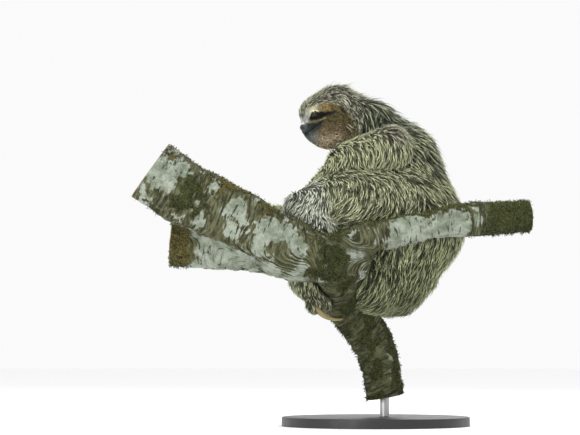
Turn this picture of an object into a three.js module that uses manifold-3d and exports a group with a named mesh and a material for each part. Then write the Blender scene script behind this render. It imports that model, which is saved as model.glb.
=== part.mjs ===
// Brown-throated three-toed sloth, life size, curled up in the fork of a limb, on a display stand.
// Millimetres, +Z up. The animal faces -X and its left side faces -Y. The origin is the middle of
// the stand's underside. Every body surface here is the outside of the coat, out to its tips.
import * as THREE from 'three';
import { mergeVertices } from 'three/addons/utils/BufferGeometryUtils.js';
import Module from 'manifold-3d';

const wasm = await Module();
wasm.setup();

// ---------------------------------------------------------------- driving dimensions (mm, degrees)

const GAP = 0.35; // clearance between neighbouring solids
const BARK_GAP = 1; // and between the coat and the bark that it rests on
const BODY_CELL = 22; // size of the surface's facets on the body
const HEAD_CELL = 11; // and on the head
const PARTING_CELL = 44; // size of the facets of the surfaces that part the body
const CRUMB = 0.08; // an edge this short is drawn together
const FAR = 1e4; // further than anything is
const LONG = 700; // longer than the whole animal
const HEAD_REACH = 76; // a ball this large round the skull holds the head
const NAPE_AT = 0.42; // where the head is parted from the neck, between the neck and the skull
const TAIL_BLOCK = { width: 44, depth: 80 }; // the block in which the tail is parted from the trunk
const COLLAR_AT = 0.6; // where the neck is parted from the trunk, between the chest and the neck

const at = (x, y, z) => new THREE.Vector3(x, y, z);

// Where the joints of the animal are.
const SKULL = at(-63, -25, 461);
const NECK = at(-7, -10, 448);
const CHEST = at(36, 2, 390);
const LOIN = at(56, 0, 298);
const RUMP = at(15, 0, 237);
const HAUNCH = at(-4, -46, 205);
const TAIL_ROOT = at(79, 6, 215);
const TAIL_TIP = at(46, 8, 172);
const LIMBS = {
  left: {
    shoulder: at(20, -66, 411),
    biceps: at(-45, -63, 390),
    elbow: at(-84, -28, 340),
    wrist: at(-144, -60, 286),
    hand: at(-171, -74, 290),
    finger: at(-180, -79, 289),
    hip: at(22, -27, 324),
    thigh: at(-38, -64, 330),
    knee: at(-108, -78, 322),
    calf: at(-85, -86, 286),
    ankle: at(-106, -62, 216),
    foot: at(-81, -64, 188),
    toe: at(-92, -74, 178),
  },
  right: {
    shoulder: at(-2, 66, 420),
    biceps: at(-55, 84, 366),
    elbow: at(-104, 96, 311),
    wrist: at(-190, -26, 310),
    hand: at(-213, -74, 318),
    finger: at(-221, -82, 314),
    hip: at(17, 30, 300),
    thigh: at(-38, 66, 292),
    knee: at(-87, 84, 286),
    calf: at(-84, 66, 250),
    ankle: at(-80, 36, 212),
    foot: at(-73, 20, 188),
    toe: at(-69, 17, 179),
  },
};

// How thick each of them is, coat included.
const THICK = {
  neck: 44, neckRoot: 52, chest: 66, loin: 77, rump: 77, haunch: 41, tailRoot: 17, tailTip: 11,
  shoulder: 34, biceps: 27, elbow: 26, wrist: 21, hand: 17, finger: 12,
  hip: 71, thigh: 52, knee: 29, calf: 28, ankle: 25, foot: 22, toe: 15,
};

// The head, in its own axes: forward along the nose, left, and up out of the crown.
const HEAD_TURN = 20; // towards the left side
const HEAD_NOD = 22; // downwards
const CRANIUM = { at: at(-8, 0, 0), size: at(44, 42, 47) };
const BROW = { at: at(22, 0, 17), size: at(27, 32, 23) };
const CHEEKS = { at: at(14, 0, -12), size: at(33, 38, 34) };
const MUZZLE = { root: at(28, 0, 1), tip: at(45, 0, -2), rootRadius: 21, tipRadius: 11 };
const CHIN = { root: at(18, 0, -20), tip: at(40, 0, -15), rootRadius: 20, tipRadius: 10 };
const EYE = { at: at(34.7, 21.6, 12.4), radius: 6 };
const NOSE = { at: at(52, 0, 1), size: at(5.5, 8, 5.5) };
const EAR = { at: at(-4, 39, 9), size: at(8, 4.5, 9) };

// Claws: three on each hand and foot.
const HAND_CLAW = { length: 66, root: 4.2, tip: 0.8, spread: 10 };
const FOOT_CLAW = { length: 50, root: 3.8, tip: 0.8, spread: 9 };
const CLAW_TURN = 1.3; // how far round a claw hooks, in radians
const CLAW_TAPER = 1.4; // over 1 keeps a claw thick for longer
const CLAW_RINGS = 5;
const CLAW_SIDES = 6;
const HAND_GRIP = { ahead: at(-0.2, 0, -0.98), hook: at(0, -1, 0) };
const LEFT_FOOT_GRIP = { ahead: at(0.45, 0, -0.9), hook: at(0.9, 0.1, 0.45) };
const RIGHT_FOOT_GRIP = { ahead: at(0.85, 0.53, 0.1), hook: at(0.53, -0.85, 0) };

// The perch: a mossy limb that comes down to a fork, the stem that carries it, the branch beyond
// the fork, and a short bough under the limb.
const LIMB_LINE = [
  at(-327, -150, 369), at(-282, -145, 338), at(-218, -138, 307), at(-158, -130, 273),
  at(-106, -120, 250), at(-66, -110, 240), at(-38, -102, 236),
];
const LIMB_THICK = [46, 45, 43, 42, 41, 37, 28];
const STEM_LINE = [
  at(-66, -92, 236), at(-54, -60, 211), at(-44, -22, 178), at(-9, 2, 135), at(4, 8, 102), at(16, 12, 43),
];
const STEM_THICK = [32, 31, 30, 31, 29, 28];
const BRANCH_LINE = [
  at(-62, -106, 252), at(-15, -108, 274), at(32, -106, 284), at(105, -98, 299), at(222, -84, 306),
];
const BRANCH_THICK = [24, 22, 21, 24, 23];
const SPUR_LINE = [at(-112, -122, 240), at(-199, -118, 256), at(-298, -112, 265)];
const SPUR_THICK = [28, 31, 32];

// How bark swells and pinches: by a share of its radius, in waves along and round it.
const SWELLS = [
  { depth: 0.025, along: 23, round: 2 },
  { depth: 0.02, along: 41, round: -1 },
];

// The stand.
const BASE = { radius: 140, thick: 14, bevel: 2 };
const PLATE_SIDES = 40;
const ROD = { at: at(14, 12, BASE.thick + GAP), radius: 7, length: 72 };
const ROD_SIDES = 24;

// ------------------------------------------------------------------------------ shapes as distances

/** How far a point is outside a bone's flesh: a stretch from a to b, ra thick at a and rb at b. */
function bone(a, b, ra, rb) {
  const along = b.clone().sub(a);
  const lengthSq = along.lengthSq();
  return (x, y, z) => {
    const px = x - a.x, py = y - a.y, pz = z - a.z;
    const t = THREE.MathUtils.clamp((px * along.x + py * along.y + pz * along.z) / lengthSq, 0, 1);
    return Math.hypot(px - t * along.x, py - t * along.y, pz - t * along.z) - ra - (rb - ra) * t;
  };
}

/** How far a point is outside an ellipsoid with its axes along the head's. */
function headLump({ at: middle, size }) {
  const centre = headPoint(middle);
  return (x, y, z) => {
    const p = at(x - centre.x, y - centre.y, z - centre.z).applyQuaternion(HEAD_BACK);
    const near = Math.hypot(p.x / size.x, p.y / size.y, p.z / size.z);
    const steep = Math.hypot(p.x / size.x ** 2, p.y / size.y ** 2, p.z / size.z ** 2);
    return steep === 0 ? -Math.min(size.x, size.y, size.z) : (near * (near - 1)) / steep;
  };
}

/** The smaller of two distances, with the crease between them filled over a width of soft. */
function softMin(a, b, soft) {
  const h = Math.max(soft - Math.abs(a - b), 0) / soft;
  return Math.min(a, b) - (h * h * soft) / 4;
}

/** Several shapes melted into one. */
function melt(soft, ...shapes) {
  return (x, y, z) => shapes.map((shape) => shape(x, y, z)).reduce((a, b) => softMin(a, b, soft));
}

// --------------------------------------------------------------------------------- the head's axes

const forward = at(-1, 0, 0)
  .applyAxisAngle(at(0, 1, 0), -THREE.MathUtils.degToRad(HEAD_NOD))
  .applyAxisAngle(at(0, 0, 1), THREE.MathUtils.degToRad(HEAD_TURN));
const leftward = at(0, 0, 1).cross(forward).normalize();
const upward = forward.clone().cross(leftward);
const HEAD_AXES = new THREE.Matrix4().makeBasis(forward, leftward, upward);
const HEAD_BACK = new THREE.Quaternion().setFromRotationMatrix(HEAD_AXES).invert();

function headPoint(p) {
  return p.clone().applyMatrix4(HEAD_AXES).add(SKULL);
}

// ------------------------------------------------------------------------- the parts of the animal

function headShape() {
  return melt(
    10,
    headLump(CRANIUM),
    headLump(BROW),
    headLump(CHEEKS),
    bone(headPoint(MUZZLE.root), headPoint(MUZZLE.tip), MUZZLE.rootRadius, MUZZLE.tipRadius),
    bone(headPoint(CHIN.root), headPoint(CHIN.tip), CHIN.rootRadius, CHIN.tipRadius),
  );
}

function trunkShape() {
  return melt(
    18,
    bone(CHEST, LOIN, THICK.chest, THICK.loin),
    bone(LOIN, RUMP, THICK.loin, THICK.rump),
    bone(RUMP, HAUNCH, THICK.haunch, THICK.haunch),
  );
}

/** A part of the body: its shape, how softly it melts into the rest, and a box that holds it. */
function bodyPart(name, soft, joints, shape) {
  const box = new THREE.Box3().setFromPoints(joints.map(([joint]) => joint));
  const widest = Math.max(...joints.map(([, radius]) => radius));
  return { name, soft, shape, box: box.expandByScalar(widest + PARTING_CELL) };
}

/** A part of the body that is a row of bones, melted by inner, from joints [place, radius]. */
function bonyPart(name, soft, inner, ...joints) {
  const bones = joints.slice(1).map(([b, rb], i) => bone(joints[i][0], b, joints[i][1], rb));
  return bodyPart(name, soft, joints, melt(inner, ...bones));
}

const trunk = bodyPart('trunk', 1, [[CHEST, THICK.chest], [RUMP, THICK.rump]], trunkShape());
const neck = bonyPart('neck', 22, 1, [NECK, THICK.neck], [CHEST, THICK.neckRoot]);
const head = bodyPart('head', 24, [[SKULL, HEAD_REACH]], headShape());
const tail = bonyPart('tail', 8, 1, [TAIL_ROOT, THICK.tailRoot], [TAIL_TIP, THICK.tailTip]);

/** A limb: a chain of three parts, each [name, joints, soft, inner], and the joints it is parted at. */
function limbOf(side, partedAt, ...parts) {
  const place = (joint) => LIMBS[side][joint];
  return {
    joints: partedAt.map(place),
    parts: parts.map(([name, joints, soft, inner]) =>
      bonyPart(`${name}_${side}`, soft, inner, ...joints.map((joint) => [place(joint), THICK[joint]])),
    ),
  };
}

const limbs = Object.keys(LIMBS).flatMap((side) => [
  limbOf(
    side,
    ['shoulder', 'elbow', 'wrist', 'hand'],
    ['upper_arm', ['shoulder', 'biceps', 'elbow'], 14, 10],
    ['forearm', ['elbow', 'wrist'], 8, 1],
    ['hand', ['wrist', 'hand', 'finger'], 6, 4],
  ),
  limbOf(
    side,
    ['thigh', 'knee', 'ankle', 'foot'],
    ['thigh', ['hip', 'thigh', 'knee'], 14, 10],
    ['shin', ['knee', 'calf', 'ankle'], 8, 8],
    ['foot', ['ankle', 'foot', 'toe'], 6, 4],
  ),
]);
const bodyParts = [trunk, neck, head, tail, ...limbs.flatMap((limb) => limb.parts)];

/** The whole animal as one shape, each part melted onto the ones before it. */
function bodyShape(x, y, z) {
  return bodyParts.reduce((sum, part) => softMin(sum, part.shape(x, y, z), part.soft), FAR);
}

// ------------------------------------------------------------------------------- meshes from shapes

/** A lattice of points over a box, with the shape's distance at each. */
function lattice(shape, box, cell) {
  const size = box.getSize(new THREE.Vector3()).divideScalar(cell);
  const n = [size.x, size.y, size.z].map((s) => Math.ceil(s) + 1);
  const place = (i, j, k) => at(box.min.x + i * cell, box.min.y + j * cell, box.min.z + k * cell);
  const index = (i, j, k) => (k * n[1] + j) * n[0] + i;
  const values = new Float64Array(n[0] * n[1] * n[2]);
  for (let k = 0; k < n[2]; k++) {
    for (let j = 0; j < n[1]; j++) {
      for (let i = 0; i < n[0]; i++) {
        const p = place(i, j, k);
        values[index(i, j, k)] = shape(p.x, p.y, p.z) || 1e-6;
      }
    }
  }
  return { n, cell, place, index, values };
}

/** Moves a point onto the surface where the shape's distance is nought, down its slope. */
function ontoSurface(p, shape, reach) {
  const step = 0.5;
  const flattest = 0.2; // the least slope that is trusted
  for (let turn = 0; turn < 3; turn++) {
    const d = shape(p.x, p.y, p.z);
    const slope = at(
      shape(p.x + step, p.y, p.z) - shape(p.x - step, p.y, p.z),
      shape(p.x, p.y + step, p.z) - shape(p.x, p.y - step, p.z),
      shape(p.x, p.y, p.z + step) - shape(p.x, p.y, p.z - step),
    ).divideScalar(2 * step);
    const move = THREE.MathUtils.clamp(-d / Math.max(slope.lengthSq(), flattest), -reach, reach);
    p.addScaledVector(slope, move);
  }
  return p;
}

const CORNERS = [0, 1, 2, 3, 4, 5, 6, 7].map((c) => [c & 1, (c >> 1) & 1, (c >> 2) & 1]);
const CELL_EDGES = CORNERS.flatMap((_, a) =>
  [1, 2, 4].filter((bit) => !(a & bit)).map((bit) => [a, a | bit]),
);
// Round each edge of the lattice, along x, y or z, the four cells that share it.
const EDGE_RINGS = [
  [[0, 1, 1], [0, 0, 1], [0, 0, 0], [0, 1, 0]],
  [[1, 0, 1], [1, 0, 0], [0, 0, 0], [0, 0, 1]],
  [[1, 1, 0], [0, 1, 0], [0, 0, 0], [1, 0, 0]],
];

/** The closed surface of a shape: a point in each cell that it crosses, joined round each edge. */
function surfaceOf(shape, box, cell) {
  const { n, place, index, values } = lattice(shape, box, cell);
  const points = [];
  const pointOf = new Map();
  for (let k = 0; k + 1 < n[2]; k++) {
    for (let j = 0; j + 1 < n[1]; j++) {
      for (let i = 0; i + 1 < n[0]; i++) {
        const value = CORNERS.map(([a, b, c]) => values[index(i + a, j + b, k + c)]);
        const crossed = CELL_EDGES.filter(([a, b]) => value[a] < 0 !== value[b] < 0);
        if (!crossed.length) continue;
        const middle = at(0, 0, 0);
        for (const [a, b] of crossed) {
          const t = value[a] / (value[a] - value[b]);
          middle.add(at(...CORNERS[a]).lerp(at(...CORNERS[b]), t));
        }
        middle.divideScalar(crossed.length).multiplyScalar(cell).add(place(i, j, k));
        pointOf.set(index(i, j, k), points.length);
        points.push(ontoSurface(middle, shape, cell * 0.4));
      }
    }
  }
  const triangles = [];
  const addQuad = (cells, inFirst) => {
    const [a, b, c, d] = cells.map((id) => pointOf.get(id));
    const across = points[a].distanceTo(points[c]) < points[b].distanceTo(points[d]);
    const pair = across ? [[a, b, c], [a, c, d]] : [[a, b, d], [b, c, d]];
    for (const [p, q, r] of pair) triangles.push(...(inFirst ? [p, q, r] : [p, r, q]));
  };
  for (let k = 1; k + 1 < n[2]; k++) {
    for (let j = 1; j + 1 < n[1]; j++) {
      for (let i = 1; i + 1 < n[0]; i++) {
        const here = values[index(i, j, k)] < 0;
        const next = [index(i + 1, j, k), index(i, j + 1, k), index(i, j, k + 1)];
        EDGE_RINGS.forEach((ring, axis) => {
          if (here === values[next[axis]] < 0) return;
          addQuad(ring.map(([a, b, c]) => index(i - a, j - b, k - c)), here);
        });
      }
    }
  }
  return { points, triangles };
}

// A cube cut into six tetrahedra round its long diagonal.
const TETRAHEDRA = [[1, 3], [1, 5], [2, 3], [2, 6], [4, 5], [4, 6]].map(([a, b]) => [0, a, b, 7]);

/**
 * The closed surface of a shape by tetrahedra, which is straight inside each one. Two shapes that
 * keep apart at the lattice's points keep apart everywhere, so parts cut by them never overlap.
 */
function straightSurfaceOf(shape, box, cell) {
  const { n, place, index, values } = lattice(shape, box, cell);
  const rim = (i, j, k) => [i, j, k].some((v, axis) => v === 0 || v === n[axis] - 1);
  const points = [];
  const pointOf = new Map();
  const triangles = [];
  for (let k = 0; k + 1 < n[2]; k++) {
    for (let j = 0; j + 1 < n[1]; j++) {
      for (let i = 0; i + 1 < n[0]; i++) {
        const corner = CORNERS.map(([a, b, c]) => {
          const spot = [i + a, j + b, k + c];
          return { id: index(...spot), p: place(...spot), v: rim(...spot) ? cell : values[index(...spot)] };
        });
        if (corner.every((c) => c.v > 0) || corner.every((c) => c.v < 0)) continue;
        for (const tetrahedron of TETRAHEDRA) cutTetrahedron(tetrahedron.map((c) => corner[c]));
      }
    }
  }
  return { points, triangles };

  function crossing(a, b) {
    const [low, high] = a.id < b.id ? [a, b] : [b, a];
    const key = low.id * values.length + high.id;
    if (!pointOf.has(key)) {
      pointOf.set(key, points.length);
      points.push(low.p.clone().lerp(high.p, low.v / (low.v - high.v)));
    }
    return pointOf.get(key);
  }

  function addFacing(ids, outwards) {
    const [a, b, c] = ids.map((id) => points[id]);
    const normal = b.clone().sub(a).cross(c.clone().sub(a));
    triangles.push(...(normal.dot(outwards) > 0 ? ids : [ids[0], ids[2], ids[1]]));
  }

  function cutTetrahedron(four) {
    const inside = four.filter((c) => c.v < 0);
    const outside = four.filter((c) => c.v >= 0);
    if (!inside.length || !outside.length) return;
    const outwards = outside.reduce((sum, c) => sum.addScaledVector(c.p, 1 / outside.length), at(0, 0, 0));
    for (const c of inside) outwards.addScaledVector(c.p, -1 / inside.length);
    if (inside.length === 2) {
      const [a, b] = inside;
      const [c, d] = outside;
      const ring = [crossing(a, c), crossing(a, d), crossing(b, d), crossing(b, c)];
      addFacing([ring[0], ring[1], ring[2]], outwards);
      addFacing([ring[0], ring[2], ring[3]], outwards);
    } else {
      const lone = inside.length === 1 ? inside[0] : outside[0];
      addFacing(four.filter((c) => c !== lone).map((c) => crossing(lone, c)), outwards);
    }
  }
}

// ---------------------------------------------------------------------------------- solid booleans

/** A closed mesh of points and triangles as a solid that can be cut and joined. */
function solidOf({ points, triangles }) {
  const vertProperties = new Float32Array(points.flatMap((p) => [p.x, p.y, p.z]));
  const mesh = new wasm.Mesh({ numProp: 3, vertProperties, triVerts: new Uint32Array(triangles) });
  return new wasm.Manifold(mesh);
}

function pointsOf(attribute) {
  return Array.from({ length: attribute.count }, (_, i) => at(0, 0, 0).fromBufferAttribute(attribute, i));
}

/** A three.js geometry as such a solid. */
function solidOfGeometry(geometry) {
  const bare = geometry.clone();
  bare.deleteAttribute('normal');
  bare.deleteAttribute('uv');
  const merged = mergeVertices(bare, 1e-3);
  const points = pointsOf(merged.getAttribute('position'));
  const triangles = [];
  const ids = merged.index.array;
  for (let t = 0; t < ids.length; t += 3) {
    const [a, b, c] = [ids[t], ids[t + 1], ids[t + 2]];
    if (a !== b && b !== c && c !== a) triangles.push(a, b, c);
  }
  return solidOf({ points, triangles });
}

/** The largest separate piece of a solid, so that no crumb is left beside it. */
function mainPiece(solid) {
  return solid.decompose().reduce((best, piece) => (piece.volume() > best.volume() ? piece : best));
}

/** Draws together points joined by an edge that is next to nothing long, and drops what folds flat. */
function withoutCrumbs(points, triangles) {
  const standIn = points.map((_, i) => i);
  const stem = (i) => (standIn[i] === i ? i : stem(standIn[i]));
  for (let t = 0; t < triangles.length; t += 3) {
    for (const [a, b] of [[0, 1], [1, 2], [2, 0]].map((ends) => ends.map((e) => stem(triangles[t + e])))) {
      if (points[a].distanceTo(points[b]) < CRUMB) standIn[Math.max(a, b)] = Math.min(a, b);
    }
  }
  const kept = new Map();
  for (let t = 0; t < triangles.length; t += 3) {
    const ids = [0, 1, 2].map((e) => stem(triangles[t + e]));
    if (new Set(ids).size < 3) continue;
    const key = [...ids].sort((a, b) => a - b).join(' ');
    if (kept.has(key)) kept.delete(key);
    else kept.set(key, ids);
  }
  return [...kept.values()].flat();
}

/** Moves points that share a place apart, each into its own flesh, so that no two sheets touch. */
function drawApart(geometry) {
  const place = geometry.getAttribute('position');
  const normal = geometry.getAttribute('normal');
  const met = new Map();
  for (let i = 0; i < place.count; i++) {
    const key = [place.getX(i), place.getY(i), place.getZ(i)].map((v) => v.toFixed(3)).join(' ');
    met.set(key, [...(met.get(key) ?? []), i]);
  }
  for (const i of [...met.values()].filter((ids) => ids.length > 1).flat()) {
    const inwards = new THREE.Vector3().fromBufferAttribute(normal, i).multiplyScalar(-CRUMB);
    place.setXYZ(i, place.getX(i) + inwards.x, place.getY(i) + inwards.y, place.getZ(i) + inwards.z);
  }
}

function geometryOf(solid) {
  const { vertProperties, triVerts, numProp } = solid.getMesh();
  const points = [];
  for (let v = 0; v < vertProperties.length; v += numProp) {
    points.push(at(...vertProperties.slice(v, v + 3)));
  }
  const used = withoutCrumbs(points, Array.from(triVerts));
  const place = new Map([...new Set(used)].map((id, n) => [id, n]));
  const geometry = new THREE.BufferGeometry().setFromPoints([...place.keys()].map((id) => points[id]));
  geometry.setIndex(used.map((id) => place.get(id)));
  geometry.computeVertexNormals();
  drawApart(geometry);
  return geometry;
}

// --------------------------------------------------------------------------- bark, claws and stand

/** A tapering round solid along a curve; thick(t) is its radius at t from 0 to 1. */
function taperedTube(curve, thick, rings, sides, grow = 0) {
  const frames = curve.computeFrenetFrames(rings, false);
  const points = [];
  const triangles = [];
  for (let r = 0; r <= rings; r++) {
    const centre = curve.getPointAt(r / rings);
    for (let s = 0; s < sides; s++) {
      const angle = (s / sides) * Math.PI * 2;
      const radius = thick(r / rings, angle) + grow;
      const out = frames.normals[r].clone().multiplyScalar(Math.cos(angle));
      out.addScaledVector(frames.binormals[r], Math.sin(angle));
      points.push(centre.clone().addScaledVector(out, radius));
    }
  }
  for (let r = 0; r < rings; r++) {
    for (let s = 0; s < sides; s++) {
      const [a, b] = [r * sides + s, r * sides + ((s + 1) % sides)];
      triangles.push(a, b, b + sides, a, b + sides, a + sides);
    }
  }
  const first = points.push(curve.getPointAt(0).addScaledVector(frames.tangents[0], -grow)) - 1;
  const last = points.push(curve.getPointAt(1).addScaledVector(frames.tangents[rings], grow)) - 1;
  for (let s = 0; s < sides; s++) {
    const next = (s + 1) % sides;
    triangles.push(first, next, s, last, rings * sides + s, rings * sides + next);
  }
  return solidOf({ points, triangles });
}

/** A length of bark along a line of points, gently swollen and pinched as grown wood is. */
function boughOf(line, thick, rings, sides, grow) {
  const curve = new THREE.CatmullRomCurve3(line, false, 'centripetal');
  const steps = thick.length - 1;
  const radius = (t, angle) => {
    const i = Math.min(Math.floor(t * steps), steps - 1);
    const even = THREE.MathUtils.lerp(thick[i], thick[i + 1], t * steps - i);
    return SWELLS.reduce((sum, w) => sum + even * w.depth * Math.sin(w.along * t + w.round * angle), even);
  };
  return taperedTube(curve, radius, rings, sides, grow);
}

/** A claw: a horn along a line of points that keeps its thickness at first and then tapers fast. */
function clawAlong(points, { root, tip }, grow = 0) {
  const curve = new THREE.CatmullRomCurve3(points);
  const thick = (t) => THREE.MathUtils.lerp(root, tip, t ** CLAW_TAPER);
  return taperedTube(curve, thick, CLAW_RINGS, CLAW_SIDES, grow);
}

/** The lines of three claws that start side by side and hook round, from a root with its own axes. */
function clawLines(root, ahead, hook, beside, { length, spread }) {
  const radius = length / CLAW_TURN;
  return [-1, 0, 1].map((n) => {
    const start = root.clone().addScaledVector(beside, n * spread);
    return Array.from({ length: CLAW_RINGS }, (_, i) => {
      const angle = (i / (CLAW_RINGS - 1)) * CLAW_TURN;
      const across = start.clone().addScaledVector(ahead, radius * Math.sin(angle));
      return across.addScaledVector(hook, radius * (1 - Math.cos(angle)));
    });
  });
}

function roundPlate(radius, thick, bevel) {
  const profile = [
    [0, 0], [radius, 0], [radius, thick - bevel], [radius - bevel, thick], [0, thick],
  ].map(([r, h]) => new THREE.Vector2(r, h));
  return new THREE.LatheGeometry(profile, PLATE_SIDES).rotateX(Math.PI / 2);
}

function rodSolid(grow = 0) {
  const radius = ROD.radius + grow;
  const geometry = new THREE.CylinderGeometry(radius, radius, ROD.length + grow, ROD_SIDES);
  geometry.rotateX(Math.PI / 2).translate(ROD.at.x, ROD.at.y, ROD.at.z + (ROD.length + grow) / 2);
  return solidOfGeometry(geometry);
}

/** A squashed ball in the head's own axes, for an eye, an ear or the nose pad. */
function headBall(centre, size, across, grow = 0) {
  const geometry = new THREE.SphereGeometry(1, across, Math.round(across * 0.6));
  geometry.scale(size.x + grow, size.y + grow, size.z + grow);
  geometry.applyMatrix4(HEAD_AXES);
  const middle = headPoint(centre);
  return solidOfGeometry(geometry.translate(middle.x, middle.y, middle.z));
}

// --------------------------------------------------------------------------------------- materials

const finish = (color, roughness) => new THREE.MeshStandardMaterial({ color, roughness, metalness: 0 });
const MATERIALS = {
  coat: finish(0x84825f, 0.95),
  face: finish(0xb08a5c, 0.9),
  eye: finish(0x120d0a, 0.08),
  nose: finish(0x1c1a1a, 0.35),
  claw: finish(0xa8905a, 0.45),
  bark: finish(0x77786a, 0.95),
  stand: finish(0x1b1b1c, 0.5),
  rod: new THREE.MeshStandardMaterial({ color: 0x8d8f92, roughness: 0.35, metalness: 1 }),
};

// ------------------------------------------------------------------------------------ the assembly

const group = new THREE.Group();

function addPart(name, solid, material) {
  const mesh = new THREE.Mesh(geometryOf(mainPiece(solid)), material);
  mesh.name = name;
  group.add(mesh);
}

/** The perch's lengths; grown ones cut the places where the animal rests on them. */
function perchPieces(grow) {
  return {
    perch_limb: boughOf(LIMB_LINE, LIMB_THICK, 14, 10, grow),
    perch_stem: boughOf(STEM_LINE, STEM_THICK, 10, 10, grow),
    perch_branch: boughOf(BRANCH_LINE, BRANCH_THICK, 8, 9, grow),
    perch_spur: boughOf(SPUR_LINE, SPUR_THICK, 5, 9, grow),
  };
}

const perch = perchPieces(0);
const grownPerch = perchPieces(BARK_GAP);
const perchSpace = Object.values(grownPerch).reduce((a, b) => a.add(b));

// Each length of the perch gives way to the ones before it, and the stem to the rod.
const perchNames = Object.keys(perch);
perchNames.forEach((name, n) => {
  const bored = perch[name].subtract(rodSolid(GAP));
  const before = perchNames.slice(0, n).map((other) => grownPerch[other]);
  addPart(name, before.reduce((left, other) => left.subtract(other), bored), MATERIALS.bark);
});
addPart('stand_base', solidOfGeometry(roundPlate(BASE.radius, BASE.thick, BASE.bevel)), MATERIALS.stand);
addPart('stand_rod', rodSolid(), MATERIALS.rod);

// What is set into the flesh: eyes, ears, nose pad and claws.
const inlays = [];

function addInlay(name, make, material) {
  inlays.push({ name, solid: make(0), space: make(GAP), material });
}

for (const [side, sign] of [['left', 1], ['right', -1]]) {
  const mirrored = ({ x, y, z }) => at(x, y * sign, z);
  const ball = at(EYE.radius, EYE.radius, EYE.radius);
  addInlay(`eye_${side}`, (grow) => headBall(mirrored(EYE.at), ball, 10, grow), MATERIALS.eye);
  addInlay(`ear_${side}`, (grow) => headBall(mirrored(EAR.at), EAR.size, 8, grow), MATERIALS.coat);
}
addInlay('nose', (grow) => headBall(NOSE.at, NOSE.size, 8, grow), MATERIALS.nose);

// How each set of claws leaves its hand or foot, and which way it hooks.
const GRIPS = [
  { limb: 'hand_left', from: LIMBS.left.finger, claw: HAND_CLAW, ...HAND_GRIP },
  { limb: 'hand_right', from: LIMBS.right.finger, claw: HAND_CLAW, ...HAND_GRIP },
  { limb: 'foot_left', from: LIMBS.left.toe, claw: FOOT_CLAW, ...LEFT_FOOT_GRIP },
  { limb: 'foot_right', from: LIMBS.right.toe, claw: FOOT_CLAW, ...RIGHT_FOOT_GRIP },
];
for (const { limb, from, ahead, hook, claw } of GRIPS) {
  const along = ahead.clone().normalize();
  const inwards = hook.clone().addScaledVector(along, -hook.dot(along)).normalize();
  const beside = along.clone().cross(inwards);
  clawLines(from, along, inwards, beside, claw).forEach((line, n) => {
    const make = (grow) => clawAlong(line, claw, grow).subtract(perchSpace);
    addInlay(`claw_${limb}_${n + 1}`, make, MATERIALS.claw);
  });
}

for (const inlay of inlays) addPart(inlay.name, inlay.solid, inlay.material);

// The flesh: one surface for the whole animal, cut by the perch and parted where its parts meet.
const bodyBox = new THREE.Box3(at(-270, -150, 130), at(160, 150, 535));
const headBox = new THREE.Box3(SKULL.clone(), SKULL.clone()).expandByScalar(HEAD_REACH + 2 * HEAD_CELL);

/** The animal round its head only. */
function aroundHead(x, y, z) {
  return Math.max(bodyShape(x, y, z), Math.hypot(x - SKULL.x, y - SKULL.y, z - SKULL.z) - HEAD_REACH);
}

/** The least of several parts' distances. */
function nearest(parts) {
  return (x, y, z) => Math.min(...parts.map((part) => part.shape(x, y, z)));
}

/** The space where one shape is nearer than another by a gap, inside a box. */
function nearerSpace(own, other, gap, box) {
  return solidOf(straightSurfaceOf((x, y, z) => own(x, y, z) - other(x, y, z) + gap, box, PARTING_CELL));
}

/** A block on the far side of a flat cut through a joint, facing ahead. */
function blockBeyond(joint, ahead, width, depth, setBack) {
  const block = new THREE.BoxGeometry(width, width, depth).translate(0, 0, depth / 2 + setBack);
  const turn = new THREE.Quaternion().setFromUnitVectors(at(0, 0, 1), ahead.clone().normalize());
  return solidOfGeometry(block.applyQuaternion(turn).translate(joint.x, joint.y, joint.z));
}

/** Cuts a solid flat across a joint, and gives what lies ahead and what lies behind. */
function cutAcross(solid, joint, ahead, width = LONG, depth = LONG) {
  const half = GAP / 2;
  const before = blockBeyond(joint, ahead, width, depth, half);
  const behind = blockBeyond(joint, ahead, width + 2 * GAP, depth + 2 * GAP, -half);
  return [solid.intersect(before), solid.subtract(behind)];
}

function addFlesh(name, solid, material = MATERIALS.coat) {
  addPart(name, inlays.reduce((left, inlay) => left.subtract(inlay.space), solid), material);
}

let rest = solidOf(surfaceOf(bodyShape, bodyBox, BODY_CELL)).subtract(perchSpace);
let fineHead = solidOf(surfaceOf(aroundHead, headBox, HEAD_CELL));

// The limbs come off the body along the creases between them, and are parted flat at their joints.
limbs.forEach(({ parts, joints }, n) => {
  const own = nearest(parts);
  const others = nearest([trunk, neck, head, tail, ...limbs.slice(n + 1).flatMap((limb) => limb.parts)]);
  const box = parts.reduce((sum, part) => sum.union(part.box), new THREE.Box3());
  const around = nearerSpace(own, others, -GAP, box);
  let limb = rest.intersect(nearerSpace(own, others, GAP, box));
  rest = rest.subtract(around);
  fineHead = fineHead.subtract(around);
  for (const i of [1, 2]) {
    const before = joints[i].clone().sub(joints[i - 1]).normalize();
    const after = joints[i + 1].clone().sub(joints[i]).normalize();
    const [further, nearer] = cutAcross(limb, joints[i], before.add(after));
    addFlesh(parts[i - 1].name, nearer);
    limb = further;
  }
  addFlesh(parts[2].name, limb);
});

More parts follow.
